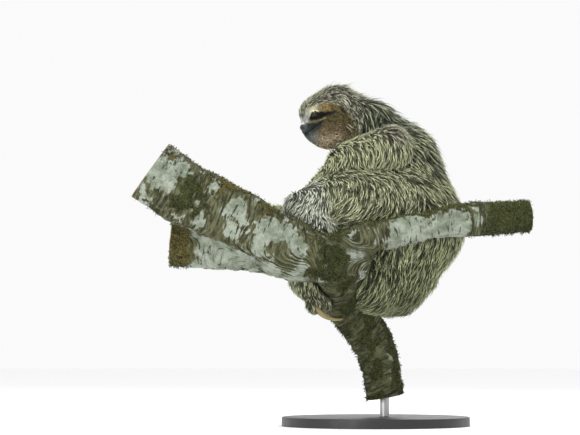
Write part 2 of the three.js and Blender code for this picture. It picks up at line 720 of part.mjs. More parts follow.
const toHead = SKULL.clone().sub(NECK);
const nape = NECK.clone().addScaledVector(toHead, NAPE_AT);
addFlesh('head', cutAcross(fineHead, nape, toHead)[0], MATERIALS.face);
[, rest] = cutAcross(rest, nape, toHead, 2 * HEAD_REACH);
const toNeck = NECK.clone().sub(CHEST);
const collar = CHEST.clone().addScaledVector(toNeck, COLLAR_AT);
const [neckSolid, belowNeck] = cutAcross(rest, collar, toNeck);
addFlesh('neck', neckSolid);
const toTail = TAIL_TIP.clone().sub(TAIL_ROOT);
const [tailSolid, trunkSolid] = cutAcross(belowNeck, TAIL_ROOT, toTail, TAIL_BLOCK.width, TAIL_BLOCK.depth);
addFlesh('tail', tailSolid);
addFlesh('trunk', trunkSolid);

export default group;
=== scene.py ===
"""A life-size brown-throated three-toed sloth, curled up in the fork of a mossy limb, on a stand.

Lengths are in millimetres and become metres where a mesh is made. The animal faces -X, its left
side faces -Y, and +Z is up. The body is one field of distances: the skin is its surface drawn in
by the depth of the coat, and the coat's strands are combed over it, out to the field's surface.
"""
import math
from collections import namedtuple

import bmesh
import bpy
import numpy as np
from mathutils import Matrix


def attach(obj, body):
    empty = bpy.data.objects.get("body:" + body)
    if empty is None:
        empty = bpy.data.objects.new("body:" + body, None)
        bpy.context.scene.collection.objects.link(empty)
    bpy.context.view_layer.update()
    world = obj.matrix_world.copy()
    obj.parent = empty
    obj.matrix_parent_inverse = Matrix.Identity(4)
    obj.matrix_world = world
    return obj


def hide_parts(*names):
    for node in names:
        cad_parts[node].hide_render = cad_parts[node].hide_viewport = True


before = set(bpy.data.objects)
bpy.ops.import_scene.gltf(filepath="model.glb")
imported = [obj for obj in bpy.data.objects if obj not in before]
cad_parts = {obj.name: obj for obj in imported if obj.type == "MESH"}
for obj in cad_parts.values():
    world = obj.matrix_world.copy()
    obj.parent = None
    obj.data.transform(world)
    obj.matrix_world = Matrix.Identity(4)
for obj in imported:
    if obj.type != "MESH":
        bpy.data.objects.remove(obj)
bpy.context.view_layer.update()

MM = 0.001
SEED = 7
FAR = 1e4  # a distance beyond every shape's


def at(x, y, z):
    return np.array([x, y, z], dtype=float)


# --------------------------------------------------------------------------- the body's sizes

SKULL, NECK, CHEST, LOIN = at(-63, -25, 461), at(-7, -10, 448), at(36, 2, 390), at(56, 0, 298)
RUMP, HAUNCH = at(15, 0, 237), at(-4, -46, 205)
TAIL_ROOT, TAIL_TIP = at(79, 6, 215), at(46, 8, 172)
JOINTS = {
    "left": {
        "shoulder": at(20, -66, 411), "biceps": at(-45, -63, 390), "elbow": at(-84, -28, 340),
        "wrist": at(-144, -60, 286), "hand": at(-171, -74, 290), "finger": at(-180, -79, 289),
        "hip": at(22, -27, 324), "thigh": at(-38, -64, 330), "knee": at(-108, -78, 322),
        "calf": at(-85, -86, 286), "ankle": at(-106, -62, 216), "foot": at(-81, -64, 188),
        "toe": at(-92, -74, 178),
    },
    "right": {
        "shoulder": at(-2, 66, 420), "biceps": at(-55, 84, 366), "elbow": at(-104, 96, 311),
        "wrist": at(-190, -26, 310), "hand": at(-213, -74, 318), "finger": at(-221, -82, 314),
        "hip": at(17, 30, 300), "thigh": at(-38, 66, 292), "knee": at(-87, 84, 286),
        "calf": at(-84, 66, 250), "ankle": at(-80, 36, 212), "foot": at(-73, 20, 188),
        "toe": at(-69, 17, 179),
    },
}
THICK = {
    "shoulder": 34, "biceps": 27, "elbow": 26, "wrist": 21, "hand": 17, "finger": 12,
    "hip": 71, "thigh": 52, "knee": 29, "calf": 28, "ankle": 25, "foot": 22, "toe": 15,
}

# The head, in its own axes: forward along the nose, left, and up out of the crown.
HEAD_TURN, HEAD_NOD = math.radians(20), math.radians(22)
CRANIUM = (at(-8, 0, 0), at(44, 42, 47))
BROW = (at(22, 0, 17), at(27, 32, 23))
CHEEKS = (at(14, 0, -12), at(33, 38, 34))
EAR = (at(-5, 38.6, 9), at(3.4, 4.4, 6.6))
EAR_HOLLOW = (at(-0.8, 41.0, 8.8), at(3.4, 4.2, 4.6))
NOSE = (at(52, 0, 1), at(5.5, 8, 5.5))
EYE, EYE_RADIUS = at(34.7, 21.6, 12.4), 6.0
GAZE = at(0.72, 0.68, -0.1)


# --------------------------------------------------------------------------- small arithmetic

def unit(v):
    return v / np.maximum(np.linalg.norm(v, axis=-1, keepdims=True), 1e-9)


def ramp(x, low, high):
    """0 below low, 1 above high, and smooth between."""
    t = np.clip((x - low) / (high - low), 0, 1)
    return t * t * (3 - 2 * t)


def mix(a, b, t):
    t = np.asarray(t)[..., None]
    return np.asarray(a) * (1 - t) + np.asarray(b) * t


def soft_min(a, b, soft):
    """The smaller of two distances, with the crease between them filled over a width of soft."""
    h = np.maximum(soft - np.abs(a - b), 0) / soft
    return np.minimum(a, b) - h * h * soft / 4


def ripple(p, size, seed, waves=7):
    """Smooth uneven noise from -1 to 1 or so, with lumps about that many millimetres across."""
    rng = np.random.default_rng(seed)
    total = np.zeros(len(p))
    for _ in range(waves):
        across = unit(rng.normal(size=3)) * rng.uniform(0.7, 1.4) * math.pi / size
        total += np.sin(p @ across + rng.uniform(0, 2 * math.pi))
    return total / math.sqrt(waves)


# ------------------------------------------------------------------------ shapes as distances

def bone(p, a, b, ra, rb):
    """How far points are outside a stretch from a to b, ra thick at a and rb at b."""
    along = b - a
    t = np.clip((p - a) @ along / (along @ along), 0, 1)
    return np.linalg.norm(p - a - t[:, None] * along, axis=1) - ra - (rb - ra) * t


def chain(p, inner, *joints):
    """Several such stretches in a row, through joints that are each (place, radius)."""
    pairs = list(zip(joints, joints[1:]))
    return melt(inner, *[bone(p, a, b, ra, rb) for (a, ra), (b, rb) in pairs])


def melt(soft, *distances):
    total = distances[0]
    for d in distances[1:]:
        total = soft_min(total, d, soft)
    return total


def lump(p, middle, size):
    """How far points are outside an ellipsoid."""
    q = p - middle
    near = np.linalg.norm(q / size, axis=1)
    steep = np.linalg.norm(q / size**2, axis=1)
    return near * (near - 1) / np.maximum(steep, 1e-9)


def head_axes():
    """The head's forward, left and up, as the columns of a matrix."""
    cn, sn, ct, st = math.cos(HEAD_NOD), math.sin(HEAD_NOD), math.cos(HEAD_TURN), math.sin(HEAD_TURN)
    forward = at(-cn * ct, -cn * st, -sn)
    left = unit(np.cross(at(0, 0, 1), forward))
    return np.stack([forward, left, np.cross(forward, left)], axis=1)


HEAD_AXES = head_axes()


def to_head(p):
    return (p - SKULL) @ HEAD_AXES


def from_head(h):
    return np.asarray(h) @ HEAD_AXES.T + SKULL


def mirrored(h):
    """Head coordinates folded onto the left half."""
    return np.stack([h[:, 0], np.abs(h[:, 1]), h[:, 2]], axis=1)


def head_shape(p):
    h = to_head(p)
    muzzle = bone(h, at(28, 0, 1), at(45, 0, -2), 21, 11)
    chin = bone(h, at(18, 0, -20), at(40, 0, -15), 20, 10)
    return melt(10, lump(h, *CRANIUM), lump(h, *BROW), lump(h, *CHEEKS), muzzle, chin)


def trunk_shape(p):
    back = bone(p, CHEST, LOIN, 66, 77)
    return melt(18, back, bone(p, LOIN, RUMP, 77, 77), bone(p, RUMP, HAUNCH, 41, 41))


def limb_part(side, inner, *names):
    joints = [(JOINTS[side][name], THICK[name]) for name in names]
    return lambda p: chain(p, inner, *joints)


def body_parts():
    """Each part's name, shape and softness, in the order in which they melt together."""
    parts = [
        ("trunk", trunk_shape, 1),
        ("neck", lambda p: bone(p, NECK, CHEST, 44, 52), 22),
        ("head", head_shape, 24),
        ("tail", lambda p: bone(p, TAIL_ROOT, TAIL_TIP, 17, 11), 8),
    ]
    for side in JOINTS:
        parts += [
            (f"upper_arm_{side}", limb_part(side, 10, "shoulder", "biceps", "elbow"), 14),
            (f"forearm_{side}", limb_part(side, 1, "elbow", "wrist"), 8),
            (f"hand_{side}", limb_part(side, 4, "wrist", "hand", "finger"), 6),
            (f"thigh_{side}", limb_part(side, 10, "hip", "thigh", "knee"), 14),
            (f"shin_{side}", limb_part(side, 8, "knee", "calf", "ankle"), 8),
            (f"foot_{side}", limb_part(side, 4, "ankle", "foot", "toe"), 6),
        ]
    return parts


PARTS = body_parts()
PART_NAMES = [name for name, _, _ in PARTS]
SHARE_WIDTH = 5.0  # how gradually one part of the body turns into the next


def body(p):
    """How far points are outside the tips of the coat."""
    total = np.full(len(p), FAR)
    for _, shape, soft in PARTS:
        total = soft_min(total, shape(p), soft)
    return total


def shares(p):
    """How much of each point belongs to each part of the body."""
    d = np.stack([shape(p) for _, shape, _ in PARTS], axis=1)
    w = np.exp(-(d - d.min(axis=1, keepdims=True)) / SHARE_WIDTH)
    return w / w.sum(axis=1, keepdims=True)


def limb_name(name):
    """A limb's name without its side."""
    return name.rsplit("_", 1)[0]


def share_of(w, *names):
    """How much of each point belongs to any of those parts, limbs named without a side."""
    return w @ np.array([float(limb_name(name) in names) for name in PART_NAMES])


def by_part(w, default, **values):
    """A value blended between the parts by their shares, limbs named without a side."""
    return w @ np.array([float(values.get(limb_name(name), default)) for name in PART_NAMES])


def slope(shape, p, step=0.6):
    """Which way a shape's distance grows, and how fast."""
    columns = [(shape(p + step * axis) - shape(p - step * axis)) / (2 * step) for axis in np.eye(3)]
    return np.stack(columns, axis=1)


def onto_level(shape, p, level=0.0, turns=3, reach=6.0):
    """Moves points down the slope onto the surface where the distance is level."""
    for _ in range(turns):
        g = slope(shape, p)
        move = (level - shape(p)) / np.maximum((g * g).sum(axis=1), 0.15)
        p = p + g * np.clip(move, -reach, reach)[:, None]
    return p


# --------------------------------------------------------------------------- the coat's depth

# The long hair's edge on the head: how high up it is, from behind the ear to the brow.
HAIRLINE = ([-12, -2, 10, 22, 39, 48, 55], [5, 13, 20, 24, 25.5, 18.5, 15])
PEAK_DROP = 6  # how much lower it comes in the middle, over the bridge of the nose
FACE_DEPTH, NOSE_THINNER = 2.2, 1.1
CROWN_THICKER, FOREHEAD_THINNER = 5.3, 3.4
BODY_DEPTH = 9
PART_DEPTH = dict(trunk=10, neck=11, head=0, hand=5, foot=5, forearm=8, shin=8, tail=6)


def crown_share(h):
    """1 on the crown and the back of the head, 0 on the face, from head coordinates."""
    f, l, u = mirrored(h).T
    hairline = np.interp(f, *HAIRLINE) - 4 * (1 - ramp(l, 0, 18)) * ramp(45 - f, 0, 12)
    hairline -= PEAK_DROP * (1 - ramp(l, 4, 15)) * ramp(f, 36, 46)
    ragged = 0.9 * ripple(h, 6, 9)
    over = ramp(u - hairline + ragged, -1.0, 2.0)
    behind = ramp(-f + 0.33 * u + 1.5 * ragged, 4.5, 9.0)
    return np.maximum(over, behind)


def coat_depth(p, w=None):
    """How thick the coat is at each point."""
    w = shares(p) if w is None else w
    h = to_head(p)
    face = FACE_DEPTH - NOSE_THINNER * ramp(h[:, 0], 40, 48)
    crown = CROWN_THICKER - FOREHEAD_THINNER * ramp(h[:, 0], -5, 32)
    head = face + crown * crown_share(h)
    return by_part(w, BODY_DEPTH, **PART_DEPTH) + share_of(w, "head") * head


# ---------------------------------------------------------------------------------- the perch

# Each bough as places along it and how thick it is there.
LIMB = ([
    at(-327, -150, 369), at(-282, -145, 338), at(-218, -138, 307), at(-158, -130, 273),
    at(-106, -120, 250), at(-66, -110, 240), at(-38, -102, 236),
], [46, 45, 43, 42, 41, 37, 28])
STEM = ([
    at(-66, -92, 236), at(-54, -60, 211), at(-44, -22, 178), at(-9, 2, 135), at(4, 8, 102),
    at(16, 12, 43),
], [32, 31, 30, 31, 29, 28])
BRANCH = ([
    at(-62, -106, 252), at(-15, -108, 274), at(32, -106, 284), at(105, -98, 299), at(222, -84, 306),
], [24, 22, 21, 24, 23])
SPUR = ([at(-112, -122, 240), at(-199, -118, 256), at(-298, -112, 265)], [28, 31, 32])
FORK_SOFT = 12.0  # how widely the creases between the boughs are filled
SAWN_ENDS = [("limb", 0), ("stem", -1), ("branch", -1), ("spur", -1)]
CURVE_STEPS = 40


def between(t, a, b, at_a, at_b):
    return (b - t) / (b - a) * at_a + (t - a) / (b - a) * at_b


def lengths_to(places):
    """How far along a line of places each of them is."""
    return np.concatenate([[0], np.cumsum(np.linalg.norm(np.diff(places, axis=0), axis=1))])


def curve_through(points, count):
    """That many evenly spaced places on a centripetal Catmull-Rom curve through the points."""
    p = np.array(points)
    p = np.vstack([2 * p[0] - p[1], p, 2 * p[-1] - p[-2]])
    knots = np.concatenate([[0], np.cumsum(np.linalg.norm(np.diff(p, axis=0), axis=1) ** 0.5)])
    fine = []
    for i in range(1, len(p) - 2):
        last = i == len(p) - 3
        t = np.linspace(knots[i], knots[i + 1], CURVE_STEPS, endpoint=last)[:, None]
        k, q = knots[i - 1:i + 3], p[i - 1:i + 3]
        for first, gap in ((0, 1), (0, 2), (1, 1)):
            q = [between(t, k[first + j], k[first + j + gap], q[j], q[j + 1])
                 for j in range(len(q) - 1)]
        fine.append(q[0])
    fine = np.vstack(fine)
    length = lengths_to(fine)
    wanted = np.linspace(0, length[-1], count)
    return np.stack([np.interp(wanted, length, fine[:, k]) for k in range(3)], axis=1)


def bough(line, thick):
    """A bough as a row of places with their thicknesses, two stretches to each given one."""
    count = 2 * len(line) - 1
    radii = np.interp(np.linspace(0, len(thick) - 1, count), range(len(thick)), thick)
    return curve_through(line, count), radii


BOUGHS = {
    "limb": bough(*LIMB), "stem": bough(*STEM), "branch": bough(*BRANCH), "spur": bough(*SPUR),
}


def bough_distance(p, name):
    """How far points are outside one bough, before its end is sawn off."""
    places, radii = BOUGHS[name]
    stretches = zip(places, places[1:], radii, radii[1:])
    return np.minimum.reduce([bone(p, *stretch) for stretch in stretches])


def beyond(p, name, end):
    """How far points are beyond the sawn end of a bough."""
    places, _ = BOUGHS[name]
    inner = 1 if end == 0 else -2
    return (p - places[end]) @ unit(places[end] - places[inner])


def perch(p):
    """How far points are outside the bark, before its roughness."""
    sawn = [np.maximum(bough_distance(p, name), beyond(p, name, end)) for name, end in SAWN_ENDS]
    return melt(FORK_SOFT, *sawn)


# ---------------------------------------------------------------------- the skin and its face

MOUTH = [
    at(55, 0, -10.5), at(53.1, 5, -10.3), at(44.9, 15.4, -5.2), at(37, 25, -1.6), at(33, 29.5, 1.2),
]
LID_THICK = 1.2
LID_OPEN = 3.3  # half the height of the opening between the lids
LID_LONG = 6.4  # half its length
BARK_CLEAR = 1.0  # how far the skin stays from the bark


def eye_axes():
    out = unit(GAZE)
    up = unit(at(0, 0, 1) - out * out[2])
    return np.stack([out, np.cross(up, out), up], axis=1)


EYE_AXES = eye_axes()


def eye_opening(h):
    """How far points are outside the almond opening between the lids, from folded head points."""
    x, y, z = ((h - EYE) @ EYE_AXES).T
    almond = np.abs(z) - LID_OPEN * (1 - (y / LID_LONG) ** 2)
    return np.maximum(almond, 1.0 - x)


def face_shape(p, d):
    """The skin's distance d, with the lids and the mouth worked into it near the face."""
    near = np.linalg.norm(p - from_head(at(34, 0, 0)), axis=1) < 52
    if not near.any():
        return d
    h = mirrored(to_head(p[near]))
    skin = d[near]
    ball = np.linalg.norm(h - EYE, axis=1) - EYE_RADIUS
    skin = soft_min(skin, ball - LID_THICK, 3.0)
    opening = np.maximum(eye_opening(h), ball - 4.0)
    skin = -soft_min(-skin, opening, 0.8)
    skin = np.maximum(skin, -(ball - 0.15))
    for a, b in zip(MOUTH, MOUTH[1:]):
        skin = -soft_min(-skin, bone(h, a, b, 1.3, 1.1), 1.2)
    out = d.copy()
    out[near] = skin
    return out


def add_ears(p, d):
    """The skin's distance d, with the small flap of each ear and the hollow in front of it."""
    h = mirrored(to_head(p))
    near = np.linalg.norm(h - EAR[0], axis=1) < 20
    if not near.any():
        return d
    out = d.copy()
    flap = soft_min(d[near], lump(h[near], *EAR), 2.0)
    out[near] = -soft_min(-flap, lump(h[near], *EAR_HOLLOW), 1.0)
    return out


def skin_shape(p):
    """How far points are outside the skin."""
    d = add_ears(p, face_shape(p, body(p) + coat_depth(p)))
    return -soft_min(-d, perch(p) - BARK_CLEAR, 2.0)


# -------------------------------------------------------------------- meshes out of distances

def lattice(shape, low, high, cell, block=4):
    """The shape's distance at the points of a lattice, exact near the surface."""
    n = np.ceil((high - low) / (cell * block)).astype(int)
    coarse_axes = [low[k] + cell * (block * np.arange(n[k]) + (block - 1) / 2) for k in range(3)]
    centres = np.stack(np.meshgrid(*coarse_axes, indexing="ij"), axis=-1).reshape(-1, 3)
    values = shape(centres).reshape(n)
    for axis in range(3):
        values = values.repeat(block, axis)
    near = np.abs(values) < cell * block
    values[near] = shape(np.argwhere(near) * cell + low)
    return values


CORNERS = [(i, j, k) for i in (0, 1) for j in (0, 1) for k in (0, 1)]
EDGES = [(a, b) for a in range(8) for b in range(a + 1, 8)
         if sum(x != y for x, y in zip(CORNERS[a], CORNERS[b])) == 1]


# For each axis, the four cells round a lattice edge, as steps back from the edge's first end.
RINGS = [
    [(0, 1, 1), (0, 0, 1), (0, 0, 0), (0, 1, 0)],
    [(1, 0, 1), (1, 0, 0), (0, 0, 0), (0, 0, 1)],
    [(1, 1, 0), (0, 1, 0), (0, 0, 0), (1, 0, 0)],
]


def middle_crossings(value):
    """The middle of where each cell's edges cross the surface, from its corners' distances."""
    corner = np.array(CORNERS)
    total, crossings = np.zeros((len(value), 3)), np.zeros(len(value))
    for a, b in EDGES:
        crossed = (value[:, a] < 0) != (value[:, b] < 0)
        gap = np.where(crossed, value[:, a] - value[:, b], 1.0)
        t = np.where(crossed, value[:, a] / gap, 0.0)[:, None]
        total += (corner[a] * (1 - t) + corner[b] * t) * crossed[:, None]
        crossings += crossed
    return total / crossings[:, None]


def cell_faces(inside, index):
    """A four-sided face through the cells round each lattice edge that crosses the surface."""
    faces = []
    for axis, ring in enumerate(RINGS):
        here = inside[1:-1, 1:-1, 1:-1]
        ahead = np.roll(inside, -1, axis)[1:-1, 1:-1, 1:-1]
        spots = np.argwhere(here != ahead) + 1
        quads = np.stack([index[tuple((spots - np.array(r)).T)] for r in ring], axis=1)
        facing = inside[tuple(spots.T)]
        faces.append(np.where(facing[:, None], quads, quads[:, ::-1]))
    return np.concatenate(faces)


def surface(shape, low, high, cell):
    """The points and four-sided faces of a shape's surface."""
    values = lattice(shape, low, high, cell)
    inside = values < 0
    n = np.array(values.shape)
    part = [inside[i:n[0] - 1 + i, j:n[1] - 1 + j, k:n[2] - 1 + k] for i, j, k in CORNERS]
    count = sum(x.astype(np.int8) for x in part)
    cells = np.argwhere((count > 0) & (count < 8))
    value = np.stack([values[tuple((cells + c).T)] for c in np.array(CORNERS)], axis=1)
    index = np.full(n - 1, -1, dtype=np.int64)
    index[tuple(cells.T)] = np.arange(len(cells))
    return low + cell * (cells + middle_crossings(value)), cell_faces(inside, index)


def tube(rings, sides):
    """Triangles of a tube through rings of points, closed to a point after its last ring."""
    faces = []
    for r in range(rings - 1):
        for s in range(sides):
            a, b = r * sides + s, r * sides + (s + 1) % sides
            faces += [(a, b, b + sides), (a, b + sides, a + sides)]
    last = (rings - 1) * sides
    return faces + [(last + s, last + (s + 1) % sides, last + sides) for s in range(sides)]


def linked(name, data):
    """A new object in the scene."""
    made = bpy.data.objects.new(name, data)
    bpy.context.scene.collection.objects.link(made)
    return made


def mesh_object(name, points, faces):
    """An object from points in millimetres and faces that all have one number of sides."""
    mesh = bpy.data.meshes.new(name)
    mesh.vertices.add(len(points))
    mesh.vertices.foreach_set("co", (points * MM).astype(np.float32).ravel())
    mesh.loops.add(faces.size)
    mesh.loops.foreach_set("vertex_index", faces.astype(np.int32).ravel())
    mesh.polygons.add(len(faces))
    starts = np.arange(0, faces.size, faces.shape[1], dtype=np.int32)
    mesh.polygons.foreach_set("loop_start", starts)
    mesh.polygons.foreach_set("use_smooth", np.ones(len(faces), dtype=bool))
    mesh.update(calc_edges=True)
    return linked(name, mesh)


def worked_object(name, work):
    """An object from a bmesh, which is used up."""
    mesh = bpy.data.meshes.new(name)
    work.to_mesh(mesh)
    work.free()
    mesh.shade_smooth()
    return linked(name, mesh)


def points_of(mesh):
    flat = np.empty(len(mesh.vertices) * 3, dtype=np.float32)
    mesh.vertices.foreach_get("co", flat)
    return flat.reshape(-1, 3).astype(float) / MM


def set_points(mesh, points):
    mesh.vertices.foreach_set("co", (points * MM).astype(np.float32).ravel())
    mesh.update()


def paint(made, colours):
    """Colours for a piece's points, which its material reads as its tint."""
    layer = made.data.color_attributes.new("tint", "FLOAT_COLOR", "POINT")
    full = np.ones((len(colours), 4), dtype=np.float32)
    full[:, :3] = colours
    layer.data.foreach_set("color", full.ravel())


def measure(made, **measures):
    """Numbers for each of a piece's points, which its material reads by their names."""
    for name, values in measures.items():
        layer = made.data.attributes.new(name, "FLOAT", "POINT")
        layer.data.foreach_set("value", np.asarray(values, dtype=np.float32))


def lay_out(made, uv, faces):
    """The map for the bake, from a place on it for each point."""
    layer = made.data.uv_layers.new(name="OFBake")
    layer.data.foreach_set("uv", uv[faces.ravel()].astype(np.float32).ravel())


def unwrap(made):
    """An unwrap of the piece's own shape, as a place for each corner of its faces."""
    made.data.uv_layers.new(name="OFBake")
    bpy.context.view_layer.objects.active = made
    made.select_set(True)
    bpy.ops.object.mode_set(mode="EDIT")
    bpy.ops.mesh.select_all(action="SELECT")
    bpy.ops.uv.smart_project(angle_limit=math.radians(66), island_margin=0.002)
    bpy.ops.object.mode_set(mode="OBJECT")
    made.select_set(False)
    flat = np.empty(len(made.data.loops) * 2, dtype=np.float32)
    made.data.uv_layers["OFBake"].data.foreach_get("uv", flat)
    return flat.reshape(-1, 2).astype(float)


def place(made, slot, material, *nodes):
    """The piece has its material, rides on the one body and stands for those CAD nodes."""
    made.data.materials.append(material)
    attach(made, "root")
    if nodes:
        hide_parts(*nodes)


# ------------------------------------------------------------------------------ how hair lies

DOWN, BACKWARD = at(0, 0, -1), at(1, 0, 0)
LIMB_ENDS = {
    "upper_arm": ("shoulder", "elbow"), "forearm": ("elbow", "wrist"), "hand": ("wrist", "finger"),
    "thigh": ("hip", "knee"), "shin": ("knee", "ankle"), "foot": ("ankle", "toe"),
}


def limb_axes(w):
    """Which way each point's limb runs from the body, blended by its shares, and its side."""
    axes, sides = np.zeros((len(PART_NAMES), 3)), np.zeros(len(PART_NAMES))
    for n, name in enumerate(PART_NAMES):
        limb, _, side = name.rpartition("_")
        if limb in LIMB_ENDS:
            start, end = LIMB_ENDS[limb]
            axes[n] = unit(JOINTS[side][end] - JOINTS[side][start])
            sides[n] = 1.0 if side == "left" else -1.0
    return w @ axes, w @ sides


def head_lie(p):
    """Which way the hair lies on the head: away from the nose, and back and down behind it."""
    h = to_head(p)
    from_nose = unit(h - at(50, 0, 4)) @ HEAD_AXES.T
    from_nose += 1.8 * ramp(-h[:, 0], -16, 4)[:, None] * DOWN
    backward = -HEAD_AXES[:, 0] + (0.9 + 1.6 * ramp(-h[:, 0], -5, 25))[:, None] * DOWN
    behind = (crown_share(h) * ramp(-h[:, 0], -34, -6))[:, None]
    return from_nose * (1 - behind) + backward * behind


def lie(p, normal, w):
    """Which way the hair lies at each point, along the surface."""
    axis, side = limb_axes(w)
    around = np.cross(normal, axis) * side[:, None]
    arc = (1.3 * normal[:, 2])[:, None] * BACKWARD  # over the top and back, then down and forward
    aslant = 0.3 * ramp(p[:, 2], 330, 400) - 0.3 * ramp(-p[:, 2], -290, -230)
    flows = [
        (("trunk", "tail"), DOWN + arc + aslant[:, None] * BACKWARD),
        (("neck",), DOWN + 0.35 * arc),
        (("upper_arm",), 0.8 * around + 0.1 * axis + 0.4 * DOWN + arc),
        (("forearm", "hand"), axis + 0.7 * around),
        (("thigh",), 0.35 * axis + 0.9 * DOWN + arc),
        (("shin", "foot"), axis + 0.25 * DOWN + 0.4 * arc),
        (("head",), head_lie(p)),
    ]
    flow = sum(share_of(w, *names)[:, None] * way for names, way in flows)
    return unit(flow - normal * (flow * normal).sum(axis=1, keepdims=True))


def turned(direction, normal, angle):
    """A direction along the surface, turned about the normal."""
    c, s = np.cos(angle)[:, None], np.sin(angle)[:, None]
    return direction * c + np.cross(normal, direction) * s


# ------------------------------------------------------------------------------- the markings

def srgb(r, g, b):
    return np.array([r, g, b], dtype=float) ** 2.2 / 255**2.2


COAT_PALE, COAT_DEEP = srgb(229, 234, 188), srgb(28, 33, 20)
SHOULDER_PALE, SHOULDER_DEEP = srgb(198, 195, 172), srgb(35, 33, 26)
MOSSY_PALE, MOSSY_DEEP = srgb(202, 211, 160), srgb(27, 33, 18)
# The knees' colours are a painted highlight where light catches the knee roll.
KNEE_HIGHLIGHT_PALE, KNEE_HIGHLIGHT_DEEP = srgb(249, 255, 236), srgb(54, 54, 36)
CROWN_PALE, CROWN_DEEP = srgb(220, 220, 192), srgb(32, 32, 26)
NECK_PALE, NECK_DEEP = srgb(198, 208, 174), srgb(13, 17, 12)

CHEEK, LOW_CHEEK, THROAT = srgb(104, 94, 63), srgb(140, 122, 92), srgb(220, 198, 170)
CREAM, TAN, BRIDGE = srgb(230, 228, 196), srgb(166, 144, 94), srgb(196, 201, 198)
STRIPE, MUZZLE, STREAK = srgb(33, 30, 28), srgb(66, 74, 75), srgb(174, 168, 122)
LIPS, CHIN, JAW = srgb(14, 16, 18), srgb(146, 154, 150), srgb(76, 82, 78)

# The face's lines: places on the left half of the head, each with the line's half width there.
STRIPE_LINE = [
    (at(45, 16, 8.6), 1.4), (at(38, 24, 11.2), 7.2), (at(28, 33.5, 8.4), 3.8),
    (at(9, 39.5, 4.8), 2.0),
]
STREAK_LINE = [(at(45, 14, 4.0), 1.4), (at(38, 25, 2.8), 1.8), (at(28, 32, 3.2), 1.0)]
JAW_LINE = [(at(53, 5, -13.5), 3.6), (at(45, 15.4, -9), 3.4), (at(36, 26, -5.5), 1.8)]
SNOUT_LINE = [
    (at(54, 0, -3), 9.0), (at(50, 9, -3), 7.4), (at(43, 18, -2), 5.0), (at(34, 28, -0.6), 2.2),
]


def near_line(h, line, fade):
    """1 on a line of head points with their half widths, fading to 0 outside it."""
    d = np.minimum.reduce([bone(h, a, b, ra, rb) for (a, ra), (b, rb) in zip(line, line[1:])])
    return 1 - ramp(d, -fade, fade)


def near_mouth(h, half_width, fade):
    return near_line(h, [(joint, half_width) for joint in MOUTH], fade)


def from_ear(h):
    """How far folded head points are from the ear's hollow, against its size."""
    middle, size = EAR_HOLLOW
    return np.linalg.norm((h - middle) / size, axis=1)


def face_colour(h):
    """The face's colour from folded head coordinates."""
    f, _, u = h.T
    mottle = ripple(h, 4.5, 41)
    below = -u + 0.3 * f
    colour = mix(CHEEK, LOW_CHEEK, ramp(below + 2.5 * mottle, 10, 26))
    colour = mix(colour, THROAT, ramp(below + 2 * mottle, 24, 40))
    colour = mix(colour, CHIN, ramp(f, 38, 49) * ramp(-u, 5, 10))
    brow = ramp(u - 0.12 * (f - 30) + mottle, 6.0, 12.5) * ramp(f + 3 * mottle, -8, 14)
    band = mix(TAN, CREAM, ramp(f + 0.4 * u + 2.5 * mottle, 30, 50))
    colour = mix(colour, band, brow * (0.15 + 0.85 * ramp(f + 2 * mottle, 2, 26)))
    colour = mix(colour, BRIDGE, ramp(f, 43, 48) * ramp(u, 3.5, 7.5))
    colour = mix(colour, STREAK, near_line(h, STREAK_LINE, 1.5))
    colour = mix(colour, MUZZLE, near_line(h, SNOUT_LINE, 3.4) * (1 - 0.8 * ramp(u, 3, 7)))
    colour = mix(colour, JAW, 0.85 * near_line(h, JAW_LINE, 3.0))
    colour = mix(colour, LIPS, near_mouth(h, 1.2, 1.5))
    colour = mix(colour, STRIPE, near_line(h, STRIPE_LINE, 1.6) * (1 - 0.35 * ramp(-f, -22, -8)))
    # Painted shade: the ear's hollow darkened to the stripe's colour.
    return mix(colour, STRIPE, 1 - ramp(from_ear(h), 0.9, 1.5))


def knee_highlight_share(p):
    """1 on the front of the knees, whitest with a painted highlight, fading to 0 round them."""
    away = [np.linalg.norm(p - JOINTS[side]["knee"] + at(0, 0, 12), axis=1) for side in JOINTS]
    return 1 - ramp(np.minimum(*away), 34, 62)


def markings(p, normal, w):
    """The pale colour of the hair's ends and the deep colour between them, at each point."""
    x, z = p[:, 0], p[:, 2]
    h = to_head(p)
    uneven = ripple(p, 35, 3)
    on_top = ramp(normal[:, 2] + 0.25 * uneven, 0.25, 0.9) * ramp(z, 345, 385) * ramp(x, -45, 15)
    neck = share_of(w, "neck") + 0.7 * share_of(w, "trunk") * ramp(z + 10 * uneven, 380, 425)
    hair_tips = p + normal * np.minimum(coat_depth(p, w), FACE_DEPTH)[:, None]
    face = face_colour(mirrored(to_head(hair_tips)))
    crown = crown_share(h)
    layers = [
        (MOSSY_PALE, MOSSY_DEEP, ramp(-z + 22 * uneven, -350, -200) * ramp(x, -90, 0)),
        # painted highlight on the front of the knees
        (KNEE_HIGHLIGHT_PALE, KNEE_HIGHLIGHT_DEEP, knee_highlight_share(p)),
        (NECK_PALE, NECK_DEEP, neck),
        (SHOULDER_PALE, SHOULDER_DEEP, 0.85 * on_top * share_of(w, "trunk", "upper_arm")),
        (mix(face * 1.2, CROWN_PALE, crown), mix(face * 0.5, CROWN_DEEP, crown), share_of(w, "head")),
    ]
    pale, deep = COAT_PALE, COAT_DEEP
    for layer_pale, layer_deep, much in layers:
        pale, deep = mix(pale, layer_pale, much), mix(deep, layer_deep, much)
    shaded = (1 - 0.22 * ramp(-z, -250, -190))[:, None]
    return pale * shaded, deep * shaded


# ----------------------------------------------------------------------------------- the coat

